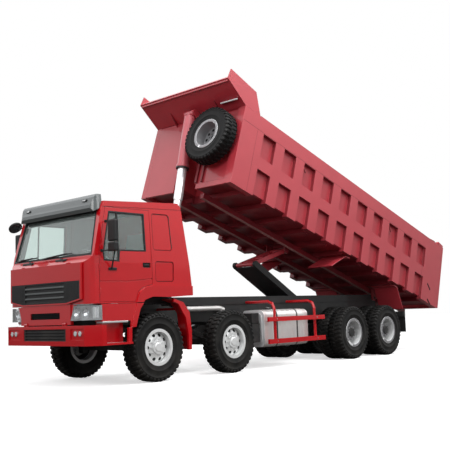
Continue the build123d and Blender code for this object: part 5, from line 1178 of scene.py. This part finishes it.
# %% Bowls, bulbs and turn signals
BOWLS = (
    # y, x of the mouth, radius of the mouth
    (0.830, 1.372, 0.075), (0.995, 1.334, 0.072),
)
BOWL_Z, BOWL_DEPTH, HOLLOW_DEPTH, HOLLOW_SHARE = 1.150, 0.075, 0.050, 0.45
AHEAD = Vector((1, 0, 0))
bowls, signals = [], []
for _, side in SIDES:
    for y, front_x, radius in BOWLS:
        mouth = Vector((front_x, side * y, BOWL_Z))
        bowl = drum("bowl", mouth - AHEAD * BOWL_DEPTH, mouth, radius * 0.35, 32, radius)
        pick_faces(bowl, lambda centre, normal: normal.x > 0.9)
        bpy.ops.mesh.inset(thickness=0.008, depth=0.0)
        middle = tuple(mouth + AHEAD * FRONT_AXLE)
        bpy.ops.transform.resize(value=(1, HOLLOW_SHARE, HOLLOW_SHARE), center_override=middle)
        bpy.ops.transform.translate(value=(-HOLLOW_DEPTH, 0, 0))
        done_editing()
        smooth_by_angle(bowl, 50)
        bulb = drum("bulb", mouth - AHEAD * 0.055, mouth - AHEAD * 0.020, 0.016, 16, 0.010)
        bowls += [bowl, bulb]
    signal = block("signal", (1.215, side * 1.105, 1.065), (1.285, side * 1.165, 1.235))
    signals.append(round_edges(signal, 0.010, 3))
put_on(join("headlamp_bowls", bowls), paint["chrome plate"], "cab")
put_on(join("turn_signals", signals), paint["bright lens"], "cab")
print("reflectors", len(bowls) // 2, "signals", len(signals))

# %% [markdown]
# Fog lamps are round, in bright rims in the bumper. Two marker lamps sit on black bases on the
# visor. All of them are short rounded drums and blocks, too small to need more.

# %% Fog lamps and visor lamps
FOG_Z = 0.839
fogs, rims = [], []
for _, side in SIDES:
    for y in (0.833, 0.950):
        rims.append(drum("rim", (1.404, side * y, FOG_Z), (1.4175, side * y, FOG_Z), 0.042, 28))
        fog = drum("fog", (1.410, side * y, FOG_Z), (1.4195, side * y, FOG_Z), 0.035, 28)
        fogs.append(round_edges(fog, 0.004, 3))
put_on(join("fog_lamp_rims", rims), paint["chrome plate"], "chassis")
put_on(join("fog_lamp_lenses", fogs), paint["bright lens"], "chassis")
lamp_bases, lamp_lenses = [], []
for y in (-0.80, 0.80):
    base = block("base", (1.150, y - 0.055, 2.885), (1.196, y + 0.055, 2.925))
    lamp_bases.append(round_edges(base, 0.010, 3))
    lamp = block("lamp", (1.188, y - 0.038, 2.893), (1.202, y + 0.038, 2.917))
    lamp_lenses.append(round_edges(lamp, 0.006, 3))
put_on(join("visor_lamp_bases", lamp_bases), paint["black plastic"], "cab")
put_on(join("visor_lamp_lenses", lamp_lenses), paint["bright lens"], "cab")
print("fog lamps", len(fogs), "visor lamps", len(lamp_lenses))

# %% [markdown]
# The steps under the doors carry pale treads with raised ribs, so that a boot doesn't slip. Six
# thin bars on a plate are enough to catch the light.

# %% Step treads
TREADS = (
    # rear x, front x, inner y, outer y, underside, top
    (0.655, 1.155, 1.022, 1.1735, 0.983, 1.0125), (0.638, 1.152, 1.022, 1.2025, 0.653, 0.6775),
)
TREAD_RIBS = 6
treads = []
for _, side in SIDES:
    for rear_x, front_x, inner, outer, low_z, high_z in TREADS:
        tread = block("tread", (rear_x, side * inner, low_z), (front_x, side * outer, high_z))
        treads.append(round_edges(tread, 0.004, 2))
        for k in range(TREAD_RIBS):
            rib_y = side * (inner + 0.020 + k * (outer - inner - 0.035) / (TREAD_RIBS - 1))
            low = (rear_x + 0.02, rib_y - 0.005, high_z - 0.001)
            treads.append(block("rib", low, (front_x - 0.02, rib_y + 0.005, high_z + 0.003)))
put_on(join("step_treads", treads), paint["brushed aluminium"], "chassis")
print("treads and ribs", len(treads))

# %% [markdown]
# ## Grille
# Behind the slats lies a dark mesh that lets air in. The solid grille has the slots, so it is
# dressed, and each slat gets a thin edge in the visor's grey. A coarse mesh of crossing wires
# fills the panels beside the slats.

# %% Slats and mesh
GRILLE_FACE_X = 1.420
SLAT_HALF, WIRE_HALF = 0.012, 0.004
dressed("grille", 0.003, 2)
dressed("bumper_grille", 0.003, 2)
edges, wires = [], []
for z in (1.403, 1.485, 1.566):
    low = (GRILLE_FACE_X - 0.010, -0.545, z - SLAT_HALF)
    edge = block("edge", low, (GRILLE_FACE_X - 0.0005, 0.545, z + SLAT_HALF))
    edges.append(round_edges(edge, 0.004, 2))
put_on(join("grille_slats", edges), paint["visor plastic"], "front_lid")
for side in (-1, 1):
    for k in range(9):
        y = side * (0.600 + 0.038 * k)
        low = (GRILLE_FACE_X - 0.006, y - WIRE_HALF, 1.345)
        wires.append(block("wire", low, (GRILLE_FACE_X - 0.002, y + WIRE_HALF, 1.625)))
    for k in range(8):
        z = 1.355 + 0.037 * k
        low_y, high_y = sorted((side * 0.590, side * 0.925))
        low = (GRILLE_FACE_X - 0.006, low_y, z - WIRE_HALF)
        wires.append(block("wire", low, (GRILLE_FACE_X - 0.003, high_y, z + WIRE_HALF)))
put_on(join("grille_mesh", wires), paint["black plastic"], "front_lid")
print("grille slats", len(edges), "wires", len(wires))

# %% [markdown]
# Under the grille a low intake shows dark bars: a near-black back plate paints the shadow inside the slot,
# and the bars in front of it are as dark. The wheel arches are lined with black sheet, which hides the red
# underside of the cab. The cab's inside is one padded solid, whose wide rounding stands for its upholstery.

# %% Lower intake, arch liners and the inside of the cab
LINER_EDGE = (
    (-0.600, 1.180), (-0.600, 1.310), (-0.430, 1.392), (0.560, 1.392), (0.630, 1.180), (0.560, 1.180),
    (0.450, 1.270), (-0.420, 1.270),
)
slot_bars = [block("back", (1.3705, -0.408, 1.068), (1.374, 0.408, 1.164))]
for z in (1.090, 1.116, 1.142):
    slot_bars.append(block("bar", (1.374, -0.408, z - 0.004), (1.396, 0.408, z + 0.004)))
# the near-black back plate is painted shadow inside the intake
put_on(join("lower_intake", slot_bars), paint["dark cavity"], "cab")
liners = [plate("liner", LINER_EDGE, "Y", side * 0.845, side * 0.851) for side in (-1, 1)]
put_on(join("arch_liners", liners), paint["black plastic"], "cab")
dressed("cab_interior", 0.020, 3)
print("intake bars", len(slot_bars) - 1, "liners", len(liners))

# %% [markdown]
# ## The bed
# The bed's plates are dressed already. What still separates it from a clean model is shadow and small steel:
# painted shade makes the pressed bays darker inside than the ribs between them, the whole floor gets a darker
# red that paints the shade on its hardly lit underside and stands for worn steel on top, and hooks, locks and
# lugs are welded on along the edges.
# Everything here is drawn on the lowered bed, where it is square, and then raised with it.

# %% Drawing on the lowered bed
LOWER = RAISE.inverted()
BED_HALF = 1.250


def level(u, y, v):
    """A place on the lowered bed, with x from the front axle."""
    return (u + BED_PIVOT_X, y, v + BED_PIVOT_Z)


def level_outline(*corners):
    """An outline on the lowered bed, given as pairs of u and v."""
    return [(u + BED_PIVOT_X, v + BED_PIVOT_Z) for u, v in corners]


def raised(piece):
    """Raise a piece that was drawn on the lowered bed."""
    piece.data.transform(RAISE)
    return piece


def welded_on(name, pieces, finish_name):
    """Join pieces drawn on the lowered bed, raise them and let them ride on the bed."""
    return put_on(raised(join(name, pieces)), paint[finish_name], "bed")


def lowered(centre, normal):
    """Where a raised face would lie on the lowered bed: u, y, v and its normal."""
    place = LOWER @ (centre + Vector((FRONT_AXLE, 0, 0)))
    u, v = place.x - FRONT_AXLE - BED_PIVOT_X, place.z - BED_PIVOT_Z
    return u, place.y, v, LOWER.to_3x3() @ normal


print("bed raised by", round(BED_ANGLE, 4), "radians")


# %% [markdown]
# A pressed bay is a shallow tray. Its walls lie in shade and get painted shade. Its back, a little darker
# than the ribs, gets a lighter painted shade. Faces are chosen by where they would lie on the lowered bed.
# The floor's underside gets the shaded red too, as painted shade, and its beams get a lighter grey on their
# feet, a painted highlight with some dust.

# %% Shade inside the bays and under the floor
def bay_wall(centre, normal):
    """The walls round a pressed bay, but not its back."""
    u, y, v, facing = lowered(centre, normal)
    return abs(facing.y) < 0.6 and 1.174 < abs(y) < 1.245 and -1.0 < u < 5.6 and 0.20 < v < 1.6


def bay_back(centre, normal):
    """The back of a pressed bay."""
    u, y, v, facing = lowered(centre, normal)
    return abs(facing.y) > 0.9 and 1.165 < abs(y) < 1.180


def beam_foot(centre, normal):
    """The undersides of the floor's beams."""
    u, y, v, facing = lowered(centre, normal)
    return facing.z < -0.9 and v < 0.12


sides = bpy.data.objects["bed_sides_dressed"]
print("bay walls", paint_faces(sides, paint["bed shade paint"], bay_wall))
print("bay backs", paint_faces(sides, paint["bay shade paint"], bay_back))
floor_plates = dressed("bed_floor", 0.004, 2, 30, paint["bed shade paint"])
print("beam faces", paint_faces(floor_plates, paint["beam highlight grey"], beam_foot))

# %% [markdown]
# The floor beams are pressed channels in the floor's painted shade. A thin flange along the foot of each beam
# catches the light, so the underside reads as a row of beams and not as a plate. The flanges get the same
# painted shade.

# %% Beam flanges
BEAMS, BEAM_PITCH, FIRST_BEAM_U = 11, 0.662, 5.134 + 0.385 + 0.060
flanges = []
for k in range(BEAMS):
    u = FIRST_BEAM_U - BEAM_PITCH * k
    for side in (-1, 1):
        low_y, high_y = sorted((side * 0.430, side * 1.105))
        flange = block("flange", level(u - 0.012, low_y, 0.1905), level(u + 0.122, high_y, 0.197))
        flanges.append(flange)
welded_on("beam_flanges", flanges, "bed shade paint")
print("beam flanges", len(flanges))

# %% [markdown]
# Ropes for a cover are tied to open hooks of bent round bar on the sides. A bar is drawn as a
# few short drums from point to point, with a thick root where it is welded on.

# %% Rope hooks
HOOK_U = (4.170, 0.825)
HOOK_BAR_R, HOOK_ROOT_R = 0.012, 0.026
hooks = []
for u in HOOK_U:
    for side in (-1, 1):
        points = [
            (u + 0.020, 1.180, 1.440), (u + 0.020, 1.228, 1.430), (u - 0.030, 1.232, 1.350),
            (u - 0.070, 1.222, 1.335), (u - 0.085, 1.205, 1.370),
        ]
        for (u0, y0, v0), (u1, y1, v1) in zip(points, points[1:]):
            hooks.append(drum("hook", level(u0, side * y0, v0), level(u1, side * y1, v1), HOOK_BAR_R, 12))
        root, root_end = level(u + 0.02, side * 1.170, 1.440), level(u + 0.02, side * 1.186, 1.440)
        hooks.append(drum("root", root, root_end, HOOK_ROOT_R, 16))
rope_hooks = welded_on("rope_hooks", hooks, "bed shade paint")
smooth_by_angle(rope_hooks, 50)
print("hooks", len(HOOK_U) * 2)

# %% [markdown]
# Each rear post has two slanted openings with a raised lip. They are only seen from outside, so each opening
# is a near-black plate of painted shadow over a slightly wider one of a shaded red.

# %% Slots in the rear posts
SLOT_ENDS = (
    # two slanted openings in each rear post: upper and lower end as u and v
    ((-1.060, 0.680), (-1.215, 0.560)), ((-1.120, 0.300), (-1.280, 0.200)),
)
SLOT_HALF, SLOT_PROUD = 0.019, 0.0012
LIP_HALF, LIP_PROUD = 0.030, 0.0006


def slanted(upper, lower, half_width):
    """The four corners of a straight slot between two ends."""
    run = Vector((upper[0] - lower[0], upper[1] - lower[1])).normalized()
    across = Vector((-run.y, run.x)) * half_width
    order = ((upper, 1), (lower, 1), (lower, -1), (upper, -1))
    return level_outline(*[(end[0] + way * across.x, end[1] + way * across.y) for end, way in order])


slots, lips = [], []
for side in (-1, 1):
    back_y = side * (BED_HALF - 0.004)
    for upper, lower in SLOT_ENDS:
        slot, lip = slanted(upper, lower, SLOT_HALF), slanted(upper, lower, LIP_HALF)
        slots.append(plate("slot", slot, "Y", back_y, side * (BED_HALF + SLOT_PROUD)))
        lips.append(plate("lip", lip, "Y", back_y, side * (BED_HALF + LIP_PROUD)))
# near-black plates of painted shadow stand for the openings
put_on(raised(join("post_slots", slots)), paint["dark cavity"], "bed")
welded_on("post_slot_lips", lips, "bed shade paint")
print("slots", len(slots))

# %% [markdown]
# The tailgate hangs between welded lugs and locks: two blocks low on each rear post and a
# slanted cheek at the top. A flat cap runs along the top of each side.

# %% Tailgate lugs and top rails
CHEEK_EDGE = level_outline((-1.040, 1.812), (-1.120, 1.880), (-1.330, 1.895), (-1.330, 1.812))
LUG_U, LUG_V = -1.560, (0.640, 0.300)
lugs, rail = [], []
for side in (-1, 1):
    for v in LUG_V:
        low = level(LUG_U - 0.030, side * 1.150, v - 0.030)
        clasp = block("clasp", low, level(LUG_U + 0.060, side * 1.2495, v + 0.030))
        lugs.append(round_edges(clasp, 0.005, 2))
    cheek = plate("cheek", CHEEK_EDGE, "Y", side * 1.170, side * 1.190)
    lugs.append(round_edges(cheek, 0.005, 2))
for side in (-1, 1):
    strip = block("strip", level(-1.560, side * 1.196, 1.8145), level(5.680, side * 1.2495, 1.826))
    rail.append(round_edges(strip, 0.004, 2))
welded_on("tailgate_lugs", lugs, "bed shade paint")
welded_on("top_rail_caps", rail, "bed paint")
print("lugs", len(lugs), "caps", len(rail))

# %% [markdown]
# ## Front wall and canopy
# The front wall is flat sheet beside the hoist's niche, closed by a smooth cover on the right.
# Two upright channels stiffen the niche. Under the canopy a slim work lamp hangs near the left
# wing, and the canopy's front edge is folded down into a lip.

# %% Front wall panels and canopy lip
WALL_U, PROUD_U = 6.092, 6.1425
cover = block("cover", level(WALL_U, -1.236, 0.222), level(PROUD_U, -0.300, 1.806))
near_post = block("near_post", level(WALL_U, 1.060, 0.222), level(PROUD_U, 1.236, 1.806))
sill = block("sill", level(WALL_U, 0.300, 0.222), level(6.128, 1.070, 0.330))
panels = [round_edges(piece, 0.006, 2) for piece in (cover, near_post, sill)]
welded_on("front_wall_covers", panels, "bed paint")
channels = []
for low_y, high_y in ((-0.300, -0.245), (0.245, 0.300), (0.400, 0.440)):
    channel = block("channel", level(WALL_U, low_y, 0.360), level(6.136, high_y, 1.790))
    channels.append(round_edges(channel, 0.004, 2))
welded_on("niche_channels", channels, "bed shade paint")
lip = block("canopy_lip", level(6.690, -1.225, 2.040), level(6.706, 1.225, 2.108))
put_on(raised(round_edges(lip, 0.004, 2)), paint["bed paint"], "bed")
lamp_bar = drum("lamp_bar", level(6.340, 0.760, 1.865), level(6.340, 1.190, 1.865), 0.016, 20)
put_on(raised(round_edges(lamp_bar, 0.006, 3)), paint["rim edge"], "bed")
RIB_EDGE = level_outline((6.100, 1.700), (6.100, 1.812), (6.400, 1.945), (6.400, 1.925))
ribs = [round_edges(plate("rib", RIB_EDGE, "Y", y - 0.008, y + 0.008), 0.003, 2) for y in (-0.620, 0.620)]
welded_on("canopy_ribs", ribs, "bed shade paint")
print("front wall", len(panels), "panels", len(channels), "channels")

# %% [markdown]
# The spare wheel shows its deep side, a grey dish with a paler flange that is a painted highlight. Its hand
# holes, bolt holes and bore are near-black drums of painted shadow that stand a millimetre or two out of the
# dish, and a hexagonal nut in the middle holds the wheel to the wall.

# %% Spare wheel's dish
spare_dish = dressed("spare_rim", 0.003, 2, 35, paint["dull steel"])


def spare_flange(centre, normal):
    """The outer flange of the spare wheel."""
    u, y, v, facing = lowered(centre, normal)
    from_axle = hypot(y - SPARE_PLACE.y, v - SPARE_PLACE.z)
    return from_axle > 0.242 and u - SPARE_PLACE.x > 0.08


# the paler flange is a painted highlight along the rim's lip
paint_faces(spare_dish, paint["rim edge"], spare_flange)
SPARE_FACE_U = SPARE_PLACE.x - 0.092
SPARE_HOLE_REACH, SPARE_NUT_REACH, NUT_TURN = 0.196, 0.130, 0.31


def on_dish(name, reach, angle, proud, radius, sides):
    """A dark drum that stands a little out of the spare wheel's dish."""
    y, v = SPARE_PLACE.y + reach * cos(angle), SPARE_PLACE.z + reach * sin(angle)
    start, end = level(SPARE_FACE_U - 0.004, y, v), level(SPARE_FACE_U + proud, y, v)
    return drum(name, start, end, radius, sides)


dark_parts, bolt_holes = [], []
for k in range(HAND_HOLES):
    angle = tau * k / HAND_HOLES
    dark_parts.append(on_dish("hole", SPARE_HOLE_REACH, angle, 0.0015, 0.030, 24))
    bolt_holes.append(on_dish("bolt_hole", SPARE_NUT_REACH, angle + NUT_TURN, 0.002, 0.012, 16))
bore = on_dish("bore", 0.0, 0.0, 0.002, 0.088, 32)
plug_end = level(SPARE_FACE_U + 0.024, *SPARE_PLACE.yz)
plug = drum("spare_plug", level(SPARE_FACE_U, *SPARE_PLACE.yz), plug_end, 0.030, 6)
# holes, bolt holes and bore are near-black: painted shadow inside them
put_on(raised(join("spare_holes", dark_parts + bolt_holes + [bore])), paint["dark cavity"], "bed")
put_on(raised(plug), paint["wheel silver"], "bed")
print("spare dish", len(dark_parts), "holes", len(bolt_holes), "bolt_holes")

# %% [markdown]
# The sides are welded from several sheets. A bar less than a millimetre proud, in a shaded red,
# draws each seam more cleanly than a groove would.

# %% Weld seams on the sides
seams = []
for side in (-1, 1):
    low_y, high_y = sorted((side * (BED_HALF - 0.002), side * (BED_HALF + 0.0008)))
    seams.append(block("seam", level(-0.740, low_y, 1.524), level(6.130, high_y, 1.534)))
    seams.append(block("seam", level(-0.745, low_y, 0.230), level(-0.735, high_y, 1.534)))
    seams.append(block("seam", level(5.700, low_y, 0.230), level(5.708, high_y, 1.524)))
welded_on("side_seams", seams, "bed shade paint")
print("seams", len(seams))

# %% [markdown]
# ## Hoist and stabiliser
# The hoist hangs from the canopy: a red tube, a bolted ring and a black gland, then the bright
# stages. Two flat arms behind it fold like an elbow and keep the bed from twisting.

# %% Hoist
HOIST_TOP = on_bed(6.394, 0.0, 1.780) - Vector((FRONT_AXLE, 0, 0))
HOIST_DOWN = Vector((0.2240, 0.0, -0.9746))


def along_hoist(distance):
    """A place on the hoist's line, measured down from its top pin."""
    return HOIST_TOP + HOIST_DOWN * distance


HOIST_BORE = 0.093


def hoist_ring(name, start, end, outer):
    """A ring round the hoist, open inside so that the stages slide through it."""
    edge = circle(outer, 40)
    piece = ring(name, edge, "X", outer - HOIST_BORE, start - FRONT_AXLE, end - FRONT_AXLE)
    aim = HOIST_DOWN.to_track_quat("X", "Z").to_matrix().to_4x4()
    piece.data.transform(Matrix.Translation(HOIST_TOP + Vector((FRONT_AXLE, 0, 0))) @ aim)
    return piece


COLLAR_START, COLLAR_END, COLLAR_R = 1.092, 1.132, 0.1285
GLAND_START, GLAND_END, GLAND_R = 1.134, 1.1675, 0.1275
COLLAR_BOLTS, BOLT_REACH, BOLT_SEAT = 12, 0.1195, 1.0905
dressed("hoist_tube", 0.004, 2, 40, paint["hoist red"])
collar = round_edges(hoist_ring("hoist_collar", COLLAR_START, COLLAR_END, COLLAR_R), 0.005, 2)
band = round_edges(hoist_ring("gland_band", GLAND_START, GLAND_END, GLAND_R), 0.004, 2)
side_way = Vector((0, 1, 0))
third_way = HOIST_DOWN.cross(side_way)
bolts = []
for k in range(COLLAR_BOLTS):
    angle = tau * k / COLLAR_BOLTS
    spoke = side_way * cos(angle) + third_way * sin(angle)
    spot = along_hoist(BOLT_SEAT) + spoke * BOLT_REACH
    bolts.append(drum("bolt", spot - HOIST_DOWN * 0.011, spot + HOIST_DOWN * 0.002, 0.0085, 6))
put_on(join("hoist_collar", [collar] + bolts), paint["hoist red"], "hoist_tube")
put_on(band, paint["frame paint"], "hoist_tube")
for number in range(1, 5):
    dressed(f"hoist_stage_{number}", 0.003, 2, 40, paint["polished rod"])
dressed("stay_lower", 0.005, 2)
dressed("stay_upper", 0.005, 2)
print("hoist", len(bolts), "bolts")

# %% [markdown]
# ## Fuel tank and guards
# The tank is polished sheet with pressed bands, two black straps on rubber and a filler cap.
# Its front end is a pale dished plate. A band has to follow the tank's round corners, so one
# section is computed, grown a little and used for every band and strap.

# %% Tank bands, straps and cap
TANK_LOW, TANK_HIGH, TANK_ROUND = (0.490, 0.400), (1.050, 1.100), 0.110


def tank_section(grow):
    """The tank's section with round corners, as y and z."""
    (y0, z0), (y1, z1) = TANK_LOW, TANK_HIGH
    points = []
    for middle_y, middle_z, first in (
        (y1 - TANK_ROUND, z1 - TANK_ROUND, 0), (y0 + TANK_ROUND, z1 - TANK_ROUND, 90),
        (y0 + TANK_ROUND, z0 + TANK_ROUND, 180), (y1 - TANK_ROUND, z0 + TANK_ROUND, 270),
    ):
        for step in range(7):
            angle = radians(first + step * 15)
            points.append((
                middle_y + (TANK_ROUND + grow) * cos(angle), middle_z + (TANK_ROUND + grow) * sin(angle),
            ))
    return points


def tank_front(centre, normal):
    """The tank's front end."""
    return normal.x > 0.9 and centre.x > -2.76 and 0.45 < centre.y < 1.06


tank = dressed("fuel_tank", 0.006, 3, 35, paint["polished tank"])
paint_faces(tank, paint["rim edge"], tank_front)
BAND_X, BAND_HALF = (-3.960, -3.870, -3.600, -3.440, -3.280, -2.990), 0.014
STRAP_X, STRAP_HALF = (-3.745, -3.125), 0.022
bands, straps = [], []
for x in BAND_X:
    band = ring("band", tank_section(0.006), "X", 0.012, x - BAND_HALF, x + BAND_HALF)
    bands.append(round_edges(band, 0.004, 2))
for x in STRAP_X:
    strap = ring("strap", tank_section(0.0085), "X", 0.010, x - STRAP_HALF, x + STRAP_HALF)
    straps.append(round_edges(strap, 0.002, 1))
put_on(join("tank_bands", bands), paint["polished tank"], "chassis")
put_on(join("tank_straps", straps), paint["frame paint"], "chassis")
TANK_Y, TANK_Z, END_SHARE_Y, END_SHARE_Z = 0.770, 0.750, 0.80, 0.84
end_edge = [
    (TANK_Y + (y - TANK_Y) * END_SHARE_Y, TANK_Z + (z - TANK_Z) * END_SHARE_Z)
    for y, z in tank_section(0.0)
]
end_plate = round_edges(plate("tank_end_plate", end_edge, "X", -2.752, -2.7425), 0.004, 2)
put_on(end_plate, paint["rim edge"], "chassis")
print("tank bands", len(bands), "straps", len(straps))

# %% [markdown]
# The filler cap is a rounded drum with four short round bars on it for the hand to grip.

# %% Tank cap
CAP_X, CAP_Y, CAP_GRIPS, GRIP_REACH = -3.070, 0.880, 4, 0.048
cap = drum("tank_cap", (CAP_X, CAP_Y, 1.100), (CAP_X, CAP_Y, 1.1455), 0.056, 32)
grips = [round_edges(cap, 0.006, 2)]
for k in range(CAP_GRIPS):
    angle = tau * (k + 0.5) / CAP_GRIPS
    spot = Vector((CAP_X + GRIP_REACH * cos(angle), CAP_Y + GRIP_REACH * sin(angle), 1.105))
    grips.append(drum("grip", spot, spot + Vector((0, 0, 0.036)), 0.012, 12))
put_on(join("tank_cap", grips), paint["black plastic"], "chassis")
print("cap with", CAP_GRIPS, "grips")

# %% [markdown]
# Between the tank and the cab the batteries sit under a rounded black cover held by two clips.
# Behind the doors a flat red foot stands at the end of each front wheel's arch.

# %% Battery cover and the arch's foot
FOOT_EDGE = ((0.592, 0.902), (0.664, 0.902), (0.672, 0.652), (0.604, 0.652))
battery = block("battery", (-2.675, 0.510, 0.850), (-2.465, 0.995, 1.050))
clips = [round_edges(battery, 0.014, 3)]
for y in (0.640, 0.860):
    clips.append(block("clip", (-2.464, y - 0.015, 0.820), (-2.458, y + 0.015, 0.960)))
put_on(join("battery_cover", clips), paint["black plastic"], "chassis")
feet = []
for side in (-1, 1):
    feet.append(round_edges(plate("foot", FOOT_EDGE, "Y", side * 1.150, side * 1.200), 0.006, 2))
put_on(join("arch_feet", feet), paint["cab paint"], "chassis")
print("cover and feet", len(clips), len(feet))

# %% [markdown]
# The guard ahead of the rear wheels is flat bar on bent tube, painted like the cab and held by
# bright bolts. The exhaust pipe above it is smooth bright tube with two clamps, so it is dressed
# and only the clamps and two straight lengths are drawn round it.

# %% Guards and pipe
dressed("side_guards", 0.005, 3, 28, paint["cab paint"])
caps = []
for side in (-1, 1):
    for tube_x in (-4.200, -2.940):
        for z in (0.508, 0.922):
            caps.append(drum("bolt", (tube_x, side * 1.219, z), (tube_x, side * 1.2225, z), 0.013, 6))
put_on(join("guard_bolts", caps), paint["chrome plate"], "chassis")
PIPE_Y, PIPE_Z = 0.520, 1.165
LENGTHS = (
    # rear and front end of each straight length
    ((-1.220, PIPE_Y, PIPE_Z), (-1.485, PIPE_Y, PIPE_Z)),
    ((-2.070, PIPE_Y, PIPE_Z), (-2.190, PIPE_Y, PIPE_Z - 0.030)),
)
dressed("exhaust_pipe", 0.002, 1, 50, paint["bright pipe"])
clamps = []
for x in (-1.560, -2.000):
    clamp = drum("clamp", (x - 0.014, PIPE_Y, PIPE_Z), (x + 0.014, PIPE_Y, PIPE_Z), 0.0475, 32)
    clamps.append(round_edges(clamp, 0.003, 2))
for start, end in LENGTHS:
    length = drum("length", start, end, 0.0448, 32)
    smooth_by_angle(length, 50)
    clamps.append(length)
put_on(join("pipe_clamps", clamps), paint["bright pipe"], "chassis")
print("guards and pipe", len(caps), len(clamps))

# %% [markdown]
# ## Springs, lamps and hoses
# Leaf springs are stacks of thin curved blades held by bands. The solids give their outline, so
# thin plates laid on their outer faces show the separate leaves, each shorter than the one
# above it.

# %% Leaf lines on the springs
SPRINGS = (
    # middle x, half of the flat part, height of the top leaf, first reach, slope,
    # inner and outer y, leaves
    (0.000, 0.090, 0.713, 0.625, 0.36, 0.342, 0.428, 8),
    (-1.800, 0.090, 0.713, 0.625, 0.36, 0.342, 0.428, 8),
    (-6.165, 0.110, 0.922, 0.730, -0.33, 0.423, 0.533, 9),
)
LEAF_PITCH, LEAF_HALF, LEAF_SHORTER = 0.0125, 0.0045, 0.055
CLIP_REACH = 0.30
leaves = []
for middle_x, flat_half, top_z, first_reach, slope, inner_y, outer_y, count in SPRINGS:
    for k in range(count):
        z, reach = top_z - LEAF_PITCH * k, first_reach - LEAF_SHORTER * k
        end_z = z + slope * (reach - flat_half)
        line = ((-reach, end_z), (-flat_half, z), (flat_half, z), (reach, end_z))
        outline = [(middle_x + x, height + LEAF_HALF) for x, height in line]
        outline += [(middle_x + x, height - LEAF_HALF) for x, height in reversed(line)]
        for side in (-1, 1):
            leaves.append(plate("leaf", outline, "Y", side * inner_y, side * outer_y))
    clip_z = top_z + slope * (CLIP_REACH - flat_half)
    for clip in (-CLIP_REACH, CLIP_REACH):
        for side in (-1, 1):
            low_y, high_y = sorted((side * (inner_y - 0.004), side * (outer_y + 0.004)))
            low = (middle_x + clip - 0.020, low_y, clip_z - 0.060)
            leaves.append(block("clip", low, (middle_x + clip + 0.020, high_y, clip_z + 0.010)))
put_on(join("leaf_lines", leaves), paint["frame paint"], "chassis")
print("leaves", len(leaves))

# %% [markdown]
# Round tail lamps sit in the rear bar: two red ones and a clear one on each side, in black
# rims. Three rubber hoses bend down to the tipping gear behind the cab. A curve with a round
# profile would give them too, but a few straight drums are enough at this thickness.

# %% Tail lamps, mud flaps and hoses
LAMP_X, LAMP_Z = -7.698, 0.900
lamps, rims, whites = [], [], []
for side in (-1, 1):
    for y, bag in ((0.80, lamps), (0.93, lamps), (1.06, whites)):
        start = (LAMP_X, side * y, LAMP_Z)
        glass_end, rim_end = (LAMP_X - 0.016, side * y, LAMP_Z), (LAMP_X - 0.008, side * y, LAMP_Z)
        bag.append(round_edges(drum("lens", start, glass_end, 0.046, 28), 0.005, 2))
        rims.append(round_edges(drum("rim", start, rim_end, 0.052, 28), 0.002, 1))
put_on(join("tail_lamp_lenses", lamps), paint["red lens"], "chassis")
put_on(join("reverse_lamp_lenses", whites), paint["bright lens"], "chassis")
put_on(join("tail_lamp_rims", rims), paint["black plastic"], "chassis")
dressed("mudguards", 0.003, 2, 30, paint["black plastic"])
hoses = []
for y in (-0.20, 0.0, 0.20):
    points = [(-0.700, y, 1.300), (-0.760, y, 1.180), (-0.900, y * 0.9, 1.130), (-1.100, y * 0.8, 1.120)]
    for start, end in zip(points, points[1:]):
        hoses.append(drum("hose", start, end, 0.014, 14))
hose_piece = join("air_hoses", hoses)
smooth_by_angle(hose_piece, 60)
put_on(hose_piece, paint["black plastic"], "chassis")
print("tail lamps", len(lamps) + len(whites), "lengths of hose", len(hoses))
